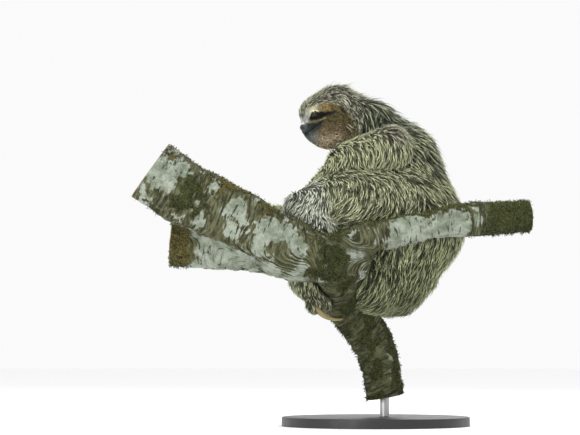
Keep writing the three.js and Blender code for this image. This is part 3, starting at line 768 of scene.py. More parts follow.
STRAND_SIDES = 3
STRAND_GAP = 0.8  # how far a strand stays from the bark
ROOT_SINK = 0.6  # how far under the skin it starts
BRIGHT_WIDTH = 1.3  # how much wider the pale strands that lie over the rest are
WILD_SHARE = 0.12  # how many strands stand out of the coat
ROOT_COLOUR, GREYING = 0.02, 0.25  # how pale a strand is at its root, and how unevenly it pales
PATCH = 0.003  # how wide a strand's patch on the unwrap is
PIECE_TRIANGLES = 190000

Hair = namedtuple("Hair", "density length width wild bright rise steps palest")
Traits = namedtuple("Traits", "length width reach swirl bend shade")


class BareSkin:
    """The skin's four-sided faces and their unwrap, where the coat's strands take root."""

    def __init__(self, points, faces, uv):
        self.corners = [points[faces[:, i]] for i in range(4)]
        self.uvs = [uv[:, i] for i in range(4)]
        a, b, c, d = self.corners
        self.area = np.linalg.norm(np.cross(c - a, d - b), axis=1) / 2
        self.middle = (a + b + c + d) / 4
        self.shares = shares(self.middle)
        self.rng = np.random.default_rng(SEED)

    def roots(self, density):
        """Random places, density(middle, shares) of them to the square millimetre, and their uv."""
        wanted = self.area * density(self.middle, self.shares)
        number = int(wanted.sum())
        face = self.rng.choice(len(wanted), number, p=wanted / wanted.sum())
        s, t = self.rng.random(number)[:, None], self.rng.random(number)[:, None]
        weights = [(1 - s) * (1 - t), s * (1 - t), s * t, (1 - s) * t]
        places = sum(corner[face] * k for corner, k in zip(self.corners, weights))
        uv = sum(corner[face] * k for corner, k in zip(self.uvs, weights))
        return places, uv


def may_root(roots):
    """Hair grows clear of the bark, the eyes, the lips, the hollows of the ears and the nose."""
    h = mirrored(to_head(roots))
    clear = perch(roots) > 1.5
    clear &= np.linalg.norm(h - EYE, axis=1) > EYE_RADIUS + 2.0
    clear &= from_ear(h) > 1
    clear &= near_mouth(h, 1.6, 0.5) < 0.5
    return clear & (np.linalg.norm((h - NOSE[0]) / (NOSE[1] + 1.0), axis=1) > 1)


def draw_traits(rng, hair, roots, w):
    """Each strand's size, reach out of the coat, sway along the skin and brightness."""
    number = len(roots)

    def spread(low, high):
        return rng.uniform(low, high, number)

    bright = rng.random(number) < hair.bright(roots, w)
    length = hair.length(roots, w) * spread(0.75, 1.25)
    width = hair.width(roots, w) * spread(0.75, 1.3) * np.where(bright, BRIGHT_WIDTH, 1)
    reach = np.where(bright, spread(0.85, 1.1), spread(0.35, 0.85)) * hair.rise
    reach += hair.wild(roots, w) * (rng.random(number) < WILD_SHARE) * rng.random(number)
    swirl = by_part(w, 0.26, neck=0.18) * ripple(roots, 25, 5) + rng.normal(0, 0.13, number)
    bend = rng.normal(0, 0.2, number)
    # Darker strands beneath the pale ones: their own tone and painted shade under the top strands.
    under = by_part(w, 1.0, neck=0.6, trunk=0.75) * spread(0.10, 0.55)
    shade = np.where(bright, spread(0.85, 1.35), under)
    return Traits(length, width, reach, swirl, bend, shade)


def off_the_bark(p, gap, turns):
    """The points, with those that have gone into the bark brought out to that gap from it."""
    low = perch(p) < gap
    if low.any():
        p[low] = onto_level(perch, p[low], gap, turns=turns)
    return p


def next_spot(spot, way, traits, depth, t, steps):
    """A strand's next place, a step along the lie of the hair and out towards the coat's tips."""
    ahead = spot + way * (traits.length / steps)[:, None]
    level = -depth * (1 - traits.reach * (1 - (1 - t) ** 1.7))
    return off_the_bark(onto_level(body, ahead, level, turns=1), STRAND_GAP, turns=1)


def strand_ring(spot, direction, normal, half):
    """The three corners of a strand at one place along it, flat side down."""
    beside = unit(np.cross(normal, direction)) * half[:, None]
    above = np.cross(direction, beside)
    return [spot - beside, spot + beside, spot + above * 0.9]


def comb(rng, roots, uv, hair):
    """Strands from the roots that follow the lie of the hair: points, faces, uv and colours."""
    keep = may_root(roots)
    roots, uv = roots[keep], uv[keep]
    number = len(roots)
    w = shares(roots)
    depth = coat_depth(roots, w)
    normal = unit(slope(body, roots))
    traits = draw_traits(rng, hair, roots, w)
    pale, deep = markings(roots, normal, w)
    pale = np.maximum(pale, hair.palest)
    spot = roots - normal * ROOT_SINK
    direction = lie(spot, normal, w)
    rows, colours = [], []
    for k in range(hair.steps + 1):
        t = k / hair.steps
        if k:
            way = turned(lie(spot, normal, w), normal, traits.swirl + traits.bend * t)
            ahead = next_spot(spot, way, traits, depth, t, hair.steps)
            direction, spot = unit(ahead - spot), ahead
            w = shares(spot)
            normal = unit(slope(body, spot))
        ring = [spot]
        if k < hair.steps:
            ring = strand_ring(spot, direction, normal, traits.width * (1.0 - t**2.2) / 2)
        ripened = np.clip(ROOT_COLOUR + 1.1 * t**0.8 - GREYING * rng.random(number), 0, 1)
        rows += ring
        colours += [mix(deep, pale, ripened) * traits.shade[:, None]] * len(ring)
    points = np.stack(rows, axis=1).reshape(-1, 3)
    tint = np.stack(colours, axis=1).reshape(-1, 3)
    return points, strand_faces(number, hair.steps), on_patches(uv, hair.steps), tint


def strand_points(steps):
    return STRAND_SIDES * steps + 1


def one_strand(steps):
    """The triangles of one strand: a cap at the root, rings of three, and a tip."""
    return np.array([(0, 2, 1)] + tube(steps, STRAND_SIDES))


def strand_faces(number, steps):
    """The triangles of that many strands."""
    first = np.arange(number)[:, None, None] * strand_points(steps)
    return (first + one_strand(steps)[None]).reshape(-1, 3)


def on_patches(uv, steps):
    """A place on the unwrap for each point of strands that are rooted at those places on it."""
    spots = [(s / 2, k / steps) for k in range(steps) for s in range(STRAND_SIDES)] + [(0.5, 1.0)]
    return (uv[:, None, :] + (np.array(spots)[None] - 0.5) * PATCH).reshape(-1, 2)


def coat_pieces(name, strands, steps, material):
    """Strands as objects, none with more triangles than PIECE_TRIANGLES."""
    points, faces, uv, tint = strands
    per, each = strand_points(steps), len(one_strand(steps))
    number, most = len(points) // per, PIECE_TRIANGLES // each
    for n, start in enumerate(range(0, number, most)):
        stop = min(start + most, number)
        cut = slice(start * per, stop * per)
        part = faces[start * each:stop * each] - start * per
        piece = mesh_object(f"{name}_{n + 1}", points[cut], part)
        lay_out(piece, uv[cut], part)
        paint(piece, tint[cut])
        place(piece, "coat", material)


# ---------------------------------------------------------------------------------- materials

class Look:
    """A material, with the steps that its recipe is made of."""

    def __init__(self, name):
        self.material = bpy.data.materials.new(name)
        self.material.use_nodes = True
        self.tree = self.material.node_tree
        self.shader = self.tree.nodes["Principled BSDF"]

    def feed(self, socket, value):
        """Gives a socket another's value or a constant, with a colour as three numbers."""
        if isinstance(value, bpy.types.NodeSocket):
            self.tree.links.new(value, socket)
        else:
            socket.default_value = (*value, 1.0) if socket.type == "RGBA" else value

    def node(self, kind, inputs=(), **settings):
        made = self.tree.nodes.new("ShaderNode" + kind)
        for key, value in settings.items():
            setattr(made, key, value)
        for key, value in dict(inputs).items():
            self.feed(made.inputs[key], value)
        return made

    def position(self):
        return self.node("TexCoord").outputs["Object"]

    def given(self, name, kind="Fac"):
        """A value that the mesh carries for each of its points."""
        return self.node("Attribute", attribute_name=name).outputs[kind]

    def noise(self, scale, detail=4.0, roughness=0.55, vector=None):
        """Uneven values from 0 to 1, with lumps about 1 / scale metres across."""
        return self.node("TexNoise", {
            "Vector": vector or self.position(), "Scale": scale, "Detail": detail,
            "Roughness": roughness,
        }).outputs["Fac"]

    def remap(self, value, low, high, to_low=0.0, to_high=1.0):
        return self.node("MapRange", {
            "Value": value, "From Min": low, "From Max": high, "To Min": to_low, "To Max": to_high,
        }, interpolation_type="SMOOTHSTEP").outputs["Result"]

    def blend(self, share, a, b, kind="MIX"):
        """Two colours mixed."""
        made = self.node("Mix", data_type="RGBA", blend_type=kind, clamp_factor=True)
        for key, value in ((0, share), (6, a), (7, b)):
            self.feed(made.inputs[key], value)
        return made.outputs[2]

    def sum(self, operation, *values, kind="Math"):
        """The result of a sum, or with VectorMath of one on three numbers at a time."""
        return self.node(kind, dict(enumerate(values)), operation=operation).outputs[0]

    def grained(self, grain, low, high):
        """The colours that the mesh carries, darkened and lightened by a grain."""
        shade = self.remap(grain, 0.3, 0.7, low, high)
        grey = self.node("CombineColor", {"Red": shade, "Green": shade, "Blue": shade})
        return self.blend(1.0, self.given("tint", "Color"), grey.outputs["Color"], "MULTIPLY")

    def bump(self, height, strength, distance):
        made = self.node("Bump", {"Height": height, "Strength": strength, "Distance": distance})
        self.tree.links.new(made.outputs["Normal"], self.shader.inputs["Normal"])

    def finish(self, colour, roughness, specular=0.5, metallic=0.0):
        self.feed(self.shader.inputs["Base Color"], colour)
        self.feed(self.shader.inputs["Roughness"], roughness)
        self.shader.inputs["Specular IOR Level"].default_value = specular
        self.shader.inputs["Metallic"].default_value = metallic
        return self.material


def hair_material():
    """Coarse hair: the markings, unevenly soiled along each strand."""
    look = Look("hair")
    colour = look.grained(look.noise(260.0), 0.72, 1.18)
    return look.finish(colour, look.remap(look.noise(90.0), 0.3, 0.7, 0.5, 0.72), specular=0.3)


def skin_material():
    """The skin and the flat undercoat on it, with the same markings as the hair."""
    look = Look("skin")
    look.bump(look.noise(1200.0, 2.0), 0.5, 0.0008)
    return look.finish(look.grained(look.noise(900.0, 3.0), 0.7, 1.25), 0.85, specular=0.2)


def eye_material():
    """A dark wet eye, its iris as dark as its pupil."""
    look = Look("eye")
    colour = look.blend(look.noise(300.0), (0.004, 0.003, 0.003), (0.014, 0.008, 0.006))
    return look.finish(colour, 0.08, specular=0.3)


def nose_material():
    """Bare moist skin, finely pebbled."""
    look = Look("nose")
    pebbles = look.node("TexVoronoi", {"Vector": look.position(), "Scale": 1100.0})
    look.bump(pebbles.outputs["Distance"], 0.35, 0.0006)
    colour = look.blend(look.noise(250.0), (0.006, 0.007, 0.009), (0.022, 0.025, 0.028))
    return look.finish(colour, look.remap(look.noise(180.0), 0.3, 0.7, 0.28, 0.5))


def claw_material():
    """Worn horn: yellow-brown, streaked along its length and darker at its root."""
    look = Look("claw")
    along = look.given("along")
    lengthwise = look.node("CombineXYZ", {
        "X": look.given("beside"), "Y": look.given("above"), "Z": along,
    })
    streaks = look.noise(2.6, 5.0, 0.7, lengthwise.outputs["Vector"])
    look.bump(streaks, 0.3, 0.0008)
    horn = look.blend(look.remap(streaks, 0.35, 0.65), (0.17, 0.13, 0.045), (0.30, 0.25, 0.10))
    colour = look.blend(look.remap(along, 0.0, 0.35, 0.75, 0.0), horn, (0.10, 0.075, 0.04))
    return look.finish(colour, look.remap(streaks, 0.3, 0.7, 0.3, 0.55))


RING_TURN = 2 * math.pi / 0.0022  # a year's ring of wood every 2.2 mm
RING_WAVER = 9.0


def bark_rings(look):
    """Uneven values drawn out round the bough, so that they make narrow rings."""
    run = look.node("CombineXYZ", {"X": look.given("run")}).outputs["Vector"]
    wide = look.sum("MULTIPLY", look.position(), (0.25, 0.25, 0.25), kind="VectorMath")
    return look.noise(230.0, 4.0, 0.6, look.sum("ADD", wide, run, kind="VectorMath"))


def sawn_wood(look):
    """Pale wood with a ring for each year, wavering round the pith."""
    waver = look.sum("MULTIPLY", look.noise(60.0), RING_WAVER)
    year = look.sum("SINE", look.sum("MULTIPLY_ADD", look.given("pith"), RING_TURN, waver))
    ringed = look.blend(look.remap(year, -0.2, 0.9), (0.36, 0.285, 0.18), (0.27, 0.20, 0.12))
    pores = look.remap(look.noise(500.0), 0.4, 0.7, 0.0, 0.4)
    return look.blend(pores, ringed, (0.16, 0.12, 0.07))


def bark_material():
    """Bark ringed with wrinkles, under ragged patches of pale lichen, and dark moss."""
    look = Look("bark")
    rings = bark_rings(look)
    blotch = look.noise(55.0, 7.0, 0.68)
    speck = look.noise(650.0, 3.0, 0.6)
    look.bump(look.sum("ADD", rings, speck), 0.8, 0.0022)
    wood = look.blend(look.remap(rings, 0.35, 0.65), (0.026, 0.028, 0.014), (0.145, 0.147, 0.078))
    crust = look.blend(look.remap(blotch, 0.35, 0.65), (0.155, 0.185, 0.13), (0.36, 0.395, 0.33))
    crust = look.blend(look.remap(speck, 0.32, 0.42, 0.5, 0.0), crust, (0.10, 0.11, 0.07))
    crust = look.blend(look.remap(rings, 0.36, 0.43, 0.9, 0.0), crust, (0.03, 0.032, 0.018))
    ragged = look.sum("ADD", blotch, rings)
    crusted = look.remap(look.sum("ADD", look.given("lichen"), ragged), 1.44, 1.54)
    grain = look.remap(speck, 0.35, 0.62)
    green = look.blend(grain, (0.010, 0.014, 0.006), (0.075, 0.085, 0.026))
    rust = look.blend(grain, (0.045, 0.034, 0.012), (0.22, 0.17, 0.055))
    moss = look.blend(look.given("warm"), green, rust)
    grown = look.remap(look.sum("ADD", look.given("mossy"), ragged), 1.44, 1.62)
    colour = look.blend(grown, look.blend(crusted, wood, crust), moss)
    # Painted shade: the bark's hollows darkened nearly to black.
    hollow = look.remap(look.given("hollow"), 0.1, 0.9, 0.0, 0.8)
    colour = look.blend(hollow, colour, (0.014, 0.015, 0.009))
    colour = look.blend(look.given("sawn"), colour, sawn_wood(look))
    return look.finish(colour, 0.9, specular=0.2)


def moss_material():
    """Moss, browned in patches."""
    look = Look("moss")
    browned = look.remap(look.noise(120.0), 0.35, 0.65, 0.0, 0.5)
    return look.finish(look.blend(browned, look.given("tint", "Color"), (0.045, 0.045, 0.015)), 0.85)


def stand_material():
    """Black lacquer with a faint orange-peel."""
    look = Look("stand")
    look.bump(look.noise(700.0, 1.0), 0.08, 0.0004)
    colour = look.blend(look.noise(30.0), (0.010, 0.010, 0.011), (0.020, 0.020, 0.021))
    return look.finish(colour, look.remap(look.noise(60.0), 0.3, 0.7, 0.32, 0.45))


def rod_material():
    """Steel brushed round the rod."""
    look = Look("rod")
    stretched = look.sum("MULTIPLY", look.position(), (1, 1, 40), kind="VectorMath")
    lines = look.noise(60.0, 3.0, 0.6, stretched)
    look.bump(lines, 0.15, 0.0003)
    colour = look.blend(lines, (0.30, 0.30, 0.31), (0.55, 0.55, 0.56))
    return look.finish(colour, look.remap(lines, 0.3, 0.7, 0.28, 0.42), metallic=1.0)


def floor_material():
    look = Look("floor")
    return look.finish(look.blend(look.noise(3.0), (0.95, 0.95, 0.95), (0.98, 0.98, 0.98)), 0.9)


# ------------------------------------------------------------------------ the animal's pieces

SKIN_CELL = 2.6
BODY_LOW, BODY_HIGH = at(-262, -140, 128), at(150, 142, 524)
FLESH = PART_NAMES + ["ear_left", "ear_right"]
FINE_PLACES = [(at(36, 0, 2), 36.0), (EYE, 12.0), (at(48, 0, -5), 15.0), (EAR[0], 11.0)]


def near_on_head(p, middle, reach):
    return np.linalg.norm(mirrored(to_head(p)) - middle, axis=1) < reach


def refine_face(made):
    """Cuts the faces round the eyes, ears, nose and mouth finer, and fits them to the skin again."""
    for middle, reach in FINE_PLACES:
        work = bmesh.new()
        work.from_mesh(made.data)
        near = near_on_head(np.array([v.co for v in work.verts]) / MM, middle, reach)
        edges = [e for e in work.edges if near[e.verts[0].index] and near[e.verts[1].index]]
        bmesh.ops.subdivide_edges(work, edges=edges, cuts=1, use_grid_fill=True)
        work.to_mesh(made.data)
        work.free()
        places = points_of(made.data)
        near = near_on_head(places, middle, reach + 2)
        places[near] = onto_level(skin_shape, places[near], turns=3, reach=1.5)
        set_points(made.data, places)


def make_skin(material):
    """The skin as a piece, and what the coat's strands need of it."""
    points, faces = surface(skin_shape, BODY_LOW, BODY_HIGH, SKIN_CELL)
    points = onto_level(skin_shape, points, turns=2, reach=1.5)
    made = mesh_object("skin", points, faces)
    bare = BareSkin(points, faces, unwrap(made).reshape(-1, 4, 2))
    refine_face(made)
    places = points_of(made.data)
    w = shares(places)
    pale, deep = markings(places, unit(slope(body, places)), w)
    short_haired = share_of(w, "head") * (1 - crown_share(to_head(places)))
    paint(made, mix(mix(deep, pale, 0.12), mix(deep, pale, 0.75), short_haired))
    place(made, "coat", material, *FLESH)
    return bare


def each_part(default, **values):
    """A measure of strands that goes by the part they grow on, limbs named without a side."""
    return lambda p, w: by_part(w, default, **values)


def body_density(p, w):
    """Long strands to the square millimetre."""
    base = by_part(w, 0.28, head=0.0, hand=0.4, foot=0.4, tail=0.3)
    crown = 0.6 * crown_share(to_head(p)) * share_of(w, "head")
    return (base + crown) * ramp(perch(p), 0.0, 4.0)


def body_bright(p, w):
    """How many of the strands are pale ones that lie over the rest."""
    share = by_part(w, 0.23, upper_arm=0.27, neck=0.08, trunk=0.10, head=0.16, thigh=0.18,
                    shin=0.25, foot=0.15)
    low_back = share_of(w, "trunk") * ramp(-p[:, 2], -400, -330)
    # more pale strands on the knees: part of their painted highlight
    return share + 0.12 * knee_highlight_share(p) + 0.06 * low_back


BEHIND_CHEEK = at(2, 40, -17)


def stray_density(p, w):
    """Loose strands on the nape, back and crown, and a few long ones behind the cheek."""
    h = mirrored(to_head(p))
    upper = by_part(w, 0.001, neck=0.016, trunk=0.006, head=0.0) * ramp(p[:, 2], 330, 400)
    tufts = ramp(ripple(p, 7, 51), 0.2, 1.2)
    nape = ramp(-h[:, 0], 2, 12) * ramp(h[:, 2], 14, 26)
    crown = 0.3 * tufts * share_of(w, "head", "neck") * nape
    behind_cheek = 1 - ramp(np.linalg.norm(h - BEHIND_CHEEK, axis=1), 3, 9)
    return upper * (0.4 + 1.4 * tufts) + crown + 0.07 * behind_cheek


def stray_width(p, w):
    return by_part(w, 1.2, head=1.4) * (1 - 0.35 * ramp(-to_head(p)[:, 2], -10, 0))


def face_density(p, w):
    return 1.7 * share_of(w, "head") * (1 - crown_share(to_head(p)))


def face_length(p, w):
    return np.clip(5.5 - 0.075 * (to_head(p)[:, 0] - 10), 1.8, 6.0)


def face_width(p, w):
    return np.clip(0.72 - 0.008 * (to_head(p)[:, 0] - 20), 0.4, 0.72)


HAIRS = {
    "coat": Hair(
        density=body_density, bright=body_bright, rise=0.98, steps=3, palest=0,
        length=each_part(19, trunk=20, neck=30, head=9, hand=9, foot=10, forearm=15, shin=15,
                         tail=12),
        width=each_part(1.25, trunk=1.3, neck=1.5, head=0.95, hand=1.0, foot=1.0),
        wild=each_part(0.3, neck=0.9, head=0.55, trunk=0.35),
    ),
    "stray_hair": Hair(
        density=stray_density, bright=each_part(0.6), rise=1.45, steps=3, palest=0.8 * CROWN_PALE,
        length=each_part(24, head=20), width=stray_width, wild=each_part(1.2, head=2.6),
    ),
    "face_hair": Hair(
        density=face_density, bright=each_part(0.4), rise=0.75, steps=2, palest=0,
        length=face_length, width=face_width, wild=each_part(0.3),
    ),
}


def make_coat(bare, material):
    """The long coarse coat of the body and crown, its stray hairs, and the face's short hair."""
    for name, hair in HAIRS.items():
        roots, uv = bare.roots(hair.density)
        coat_pieces(name, comb(bare.rng, roots, uv, hair), hair.steps, material)


EYE_DOME = 0.5


def make_eye(side, material):
    """The eyeball, a little domed at its clear front."""
    work = bmesh.new()
    bmesh.ops.create_uvsphere(work, u_segments=48, v_segments=32, radius=EYE_RADIUS)
    ball = worked_object(f"eyeball_{side}", work)
    outwards = at(1, 1 if side == "left" else -1, 1)
    local = np.array([v.co for v in ball.data.vertices])
    out = unit(GAZE * outwards)
    dome = EYE_DOME * ramp(local @ out / EYE_RADIUS, 0.75, 1.0)
    set_points(ball.data, from_head(local + out * dome[:, None] + EYE * outwards))
    place(ball, "eye", material, f"eye_{side}")


NOSE_PAD = (at(50.4, 0, 0.4), at(5.6, 8.0, 5.4))
NOSTRIL = (at(56.6, 4.4, 0.2), at(52.5, 3.6, -0.8), 1.5, 1.2)
COMMA = (at(55.4, 4.6, 0.0), at(53.2, 7.2, 0.6), 1.2, 0.6)
GROOVE = (at(56.6, 0, 3), at(56.3, 0, -5), 0.6, 0.7)


def nose_shape(p):
    """The bare pad, with a comma-shaped nostril on each side and a groove between them."""
    h = mirrored(to_head(p))
    holes = np.minimum.reduce([bone(h, *hole) for hole in (NOSTRIL, COMMA, GROOVE)])
    return -soft_min(-lump(h, *NOSE_PAD), holes, 0.9)


def make_nose(material):
    middle = from_head(NOSE_PAD[0])
    points, faces = surface(nose_shape, middle - 12, middle + 12, 0.55)
    made = mesh_object("nose_pad", onto_level(nose_shape, points, turns=2, reach=0.4), faces)
    place(made, "nose", material, "nose")


# -------------------------------------------------------------------------------------- claws

CLAW_TURN = 1.3  # how far a claw turns from its root to its tip, in radians
CLAW_TAPER = 1.15
CLAW_FLAT = 0.76  # how wide a claw is against how deep
CLAW_GAP = 0.3  # how far its points stay from the bark
CLAW_RINGS, CLAW_SIDES = 22, 14
HAND_CLAW = {"length": 66, "root": 4.2, "tip": 0.8, "spread": 10}
FOOT_CLAW = {"length": 50, "root": 3.8, "tip": 0.8, "spread": 9}
HAND_GRIP = (at(-0.2, 0, -0.98), at(0, -1, 0))

# Where each limb's claws start, which way they set out, which way they hook, and their sizes.
GRIPS = {
    "hand_left": (JOINTS["left"]["finger"], *HAND_GRIP, HAND_CLAW),
    "hand_right": (JOINTS["right"]["finger"], *HAND_GRIP, HAND_CLAW),
    "foot_left": (JOINTS["left"]["toe"], at(0.45, 0, -0.9), at(0.9, 0.1, 0.45), FOOT_CLAW),
    "foot_right": (JOINTS["right"]["toe"], at(0.85, 0.53, 0.1), at(0.53, -0.85, 0), FOOT_CLAW),
}


def make_claws(material):
    for limb, (root, ahead, hook, claw) in GRIPS.items():
        along = unit(ahead)
        inwards = unit(hook - along * (hook @ along))
        beside = np.cross(along, inwards)
        for n in (-1, 0, 1):
            start = root + beside * n * claw["spread"]
            make_claw(f"claw_{limb}_{n + 2}", start, along, inwards, beside, claw, material)


def make_claw(name, start, along, inwards, beside, claw, material):
    """A hooked horn, deeper than it is wide, lying on the bark."""
    radius = claw["length"] / CLAW_TURN
    t = np.linspace(0, 1, CLAW_RINGS)[:, None]
    angle = t * CLAW_TURN
    spine = start + along * radius * np.sin(angle) + inwards * radius * (1 - np.cos(angle))
    ahead = along * np.cos(angle) + inwards * np.sin(angle)
    deep = np.cross(beside, ahead)
    thick = claw["root"] + (claw["tip"] - claw["root"]) * t**CLAW_TAPER
    thick = thick * (1 - 0.75 * ramp(t, 0.93, 1.0))
    turn = np.linspace(0, 2 * math.pi, CLAW_SIDES, endpoint=False)
    rows = [spine + thick * (CLAW_FLAT * math.cos(a) * beside + math.sin(a) * deep) for a in turn]
    points = np.stack(rows, axis=1).reshape(-1, 3)
    points = np.vstack([points, spine[-1] + ahead[-1] * 0.3, spine[0]])
    points = off_the_bark(points, CLAW_GAP, turns=2)
    root = [((s + 1) % CLAW_SIDES, s, len(points) - 1) for s in range(CLAW_SIDES)]
    made = mesh_object(f"{name}_horn", points, np.array(tube(CLAW_RINGS, CLAW_SIDES) + root))
    measure(
        made, along=np.append(np.repeat(t, CLAW_SIDES), [1.0, 0.0]),
        beside=np.append(np.tile(np.cos(turn), CLAW_RINGS), [0.0, 0.0]),
        above=np.append(np.tile(np.sin(turn), CLAW_RINGS), [0.0, 0.0]),
    )
    place(made, "claw", material, name)


# ------------------------------------------------------------------------- the perch's pieces

PERCH_CELL = 3.4
PERCH_LOW, PERCH_HIGH = at(-385, -205, 35), at(232, 55, 425)
WRINKLE = 12.0  # from one wrinkle of the bark to the next
RELIEF_MOST, BARK_SINK = 2.5, 0.3


def along_bough(p):
    """How far along its nearest bough each point is, blended where boughs meet."""
    runs, weights = [], []
    for name, (places, _) in BOUGHS.items():
        nearest = np.argmin(((p[:, None, :] - places[None]) ** 2).sum(axis=2), axis=1)
        tangent = unit(np.gradient(places, axis=0))[nearest]
        past = ((p - places[nearest]) * tangent).sum(axis=1)
        runs.append(lengths_to(places)[nearest] + past)
        weights.append(np.exp(-bough_distance(p, name) / 4))
    runs, weights = np.array(runs), np.array(weights)
    return (runs * weights).sum(axis=0) / weights.sum(axis=0)


def bark_relief(p, run):
    """How far the bark stands out, and how deep its wrinkles are, at each point."""
    s = run + 4 * ripple(p, 30, 21) + 0.12 * p[:, 2]
    furrow = 1 - np.abs(np.sin(s * math.pi / WRINKLE)) ** 0.5
    uneven = 0.4 + 0.6 * ramp(ripple(p, 18, 27), -0.5, 0.8)
    hollow = furrow * (ramp(ripple(p, 45, 22), -0.4, 0.8) * uneven)
    fine = 0.35 * ripple(p, 4.5, 23) + 0.2 * ripple(p, 2.6, 24)
    return 1.3 * ripple(p, 26, 25) + 0.7 * ripple(p, 11, 26) + fine - 1.8 * hollow, hollow


def sawn_ends(p):
    """Where the boughs are sawn through, from 0 to 1, and how far that is from the pith."""
    sawn, pith = np.zeros(len(p)), np.zeros(len(p))
    for name, end in SAWN_ENDS:
        places, radii = BOUGHS[name]
        away = np.linalg.norm(p - places[end], axis=1)
        here = ramp(beyond(p, name, end), -1.2, -0.4) * (away < radii[end] + 1)
        sawn = np.maximum(sawn, here)
        pith = np.where(here > 0, away, pith)
    return sawn, pith


def uv_of_points(made, corner_uv):
    """One place on the unwrap for each point of a piece."""
    corners = np.empty(len(made.data.loops), dtype=np.int32)
    made.data.loops.foreach_get("vertex_index", corners)
    uv = np.zeros((len(made.data.vertices), 2))
    uv[corners] = corner_uv
    return uv


def make_perch(material, moss):
    points, faces = surface(perch, PERCH_LOW, PERCH_HIGH, PERCH_CELL)
    made = mesh_object("perch", onto_level(perch, points, turns=1, reach=2), faces)
    divide = made.modifiers.new("finer", "SUBSURF")
    divide.levels = divide.render_levels = 1
    bpy.context.view_layer.objects.active = made
    bpy.ops.object.modifier_apply(modifier="finer")
    points = onto_level(perch, points_of(made.data), turns=1, reach=2)
    normal = unit(slope(perch, points))
    run = along_bough(points)
    relief, hollow = bark_relief(points, run)
    sawn, pith = sawn_ends(points)
    mossy, lichen, warm = growth(points, normal)
    mossy = mossy * (1 - sawn)
    free = ramp(body(points), 1.0, 8.0) * (1 - sawn)
    points = points + normal * (np.minimum(relief, RELIEF_MOST) * free - BARK_SINK)[:, None]
    set_points(made.data, points)
    measure(
        made, mossy=mossy, lichen=lichen, warm=warm, hollow=hollow, run=run * MM, sawn=sawn,
        pith=pith * MM,
    )
    uv = uv_of_points(made, unwrap(made))
    place(made, "bark", material, "perch_limb", "perch_stem", "perch_branch", "perch_spur")
    make_moss(points, normal, uv, mossy, warm, moss)


# Where pale lichen covers the bark, and where moss does: places on it with how far they spread.
LICHEN_PATCHES = [
    (at(-306, -186, 376), 38), (at(-236, -178, 344), 15), (at(-200, -180, 312), 17),
    (at(-151, -170, 284), 26), (at(-120, -160, 262), 14), (at(196, -107, 310), 9),
]
MOSS_PATCHES = [(at(-268, -178, 328), 30), (at(-70, -140, 235), 30), (at(-312, -160, 330), 22)]


def near_patches(p, patches):
    """1 in the middle of any of the patches, fading to 0 at their ragged edges."""
    ragged = 0.3 * ripple(p, 16, 33) + 0.25 * ripple(p, 7, 34)
    away = [np.linalg.norm(p - middle, axis=1) / size for middle, size in patches]
    return 1 - ramp(np.minimum.reduce(away) + ragged, 0.5, 1.3)


def growth(p, normal):
    """How mossy and how lichened the bark is, and how rusty its moss is, from 0 to 1."""
    x, z = p[:, 0], p[:, 2]
    patches = ripple(p, 30, 31)
    top = ramp(normal[:, 2] + 0.25 * patches + 0.15 * ripple(p, 6, 35), 0.3, 1.05)
    spur = 1 - ramp(np.abs(bough_distance(p, "spur")), 2, 8)
    spur_end = spur * ramp(-x + 12 * patches, 268, 290)
    stem = ramp(-z + 18 * patches, -232, -200) * ramp(x, -110, -60)
    stem = stem * (0.55 + 0.45 * ramp(ripple(p, 17, 36) + 0.5 * ripple(p, 6, 37), -0.4, 0.5))
    branch_end = ramp(x + 12 * patches, 130, 160)
    mossy = np.maximum.reduce([
        0.75 * top, 0.75 * spur_end, 0.7 * stem, 0.7 * branch_end,
        0.8 * near_patches(p, MOSS_PATCHES),
    ])
    smooth_branch = ramp(x, 5, 25) * (1 - ramp(x + 10 * patches, 120, 150))
    lichen = 0.38 + 0.16 * ripple(p, 20, 32) + 0.3 * spur + 0.45 * smooth_branch
    lichen += 0.5 * near_patches(p, LICHEN_PATCHES) - 0.3 * stem - 0.5 * mossy
    warm = np.maximum(0.7 * top * (1 - ramp(x, -190, -120)), 0.45 * spur_end) + 0.12 * patches
    return np.clip(mossy, 0, 1), np.clip(lichen, 0, 1), np.clip(warm, 0, 1)


MOSS_BLADES = 11000
BLADE_STEPS = 2
MOSS_PALE, MOSS_DEEP = srgb(112, 122, 54), srgb(26, 34, 14)
RUST_PALE, RUST_DEEP = srgb(160, 150, 78), srgb(54, 48, 24)


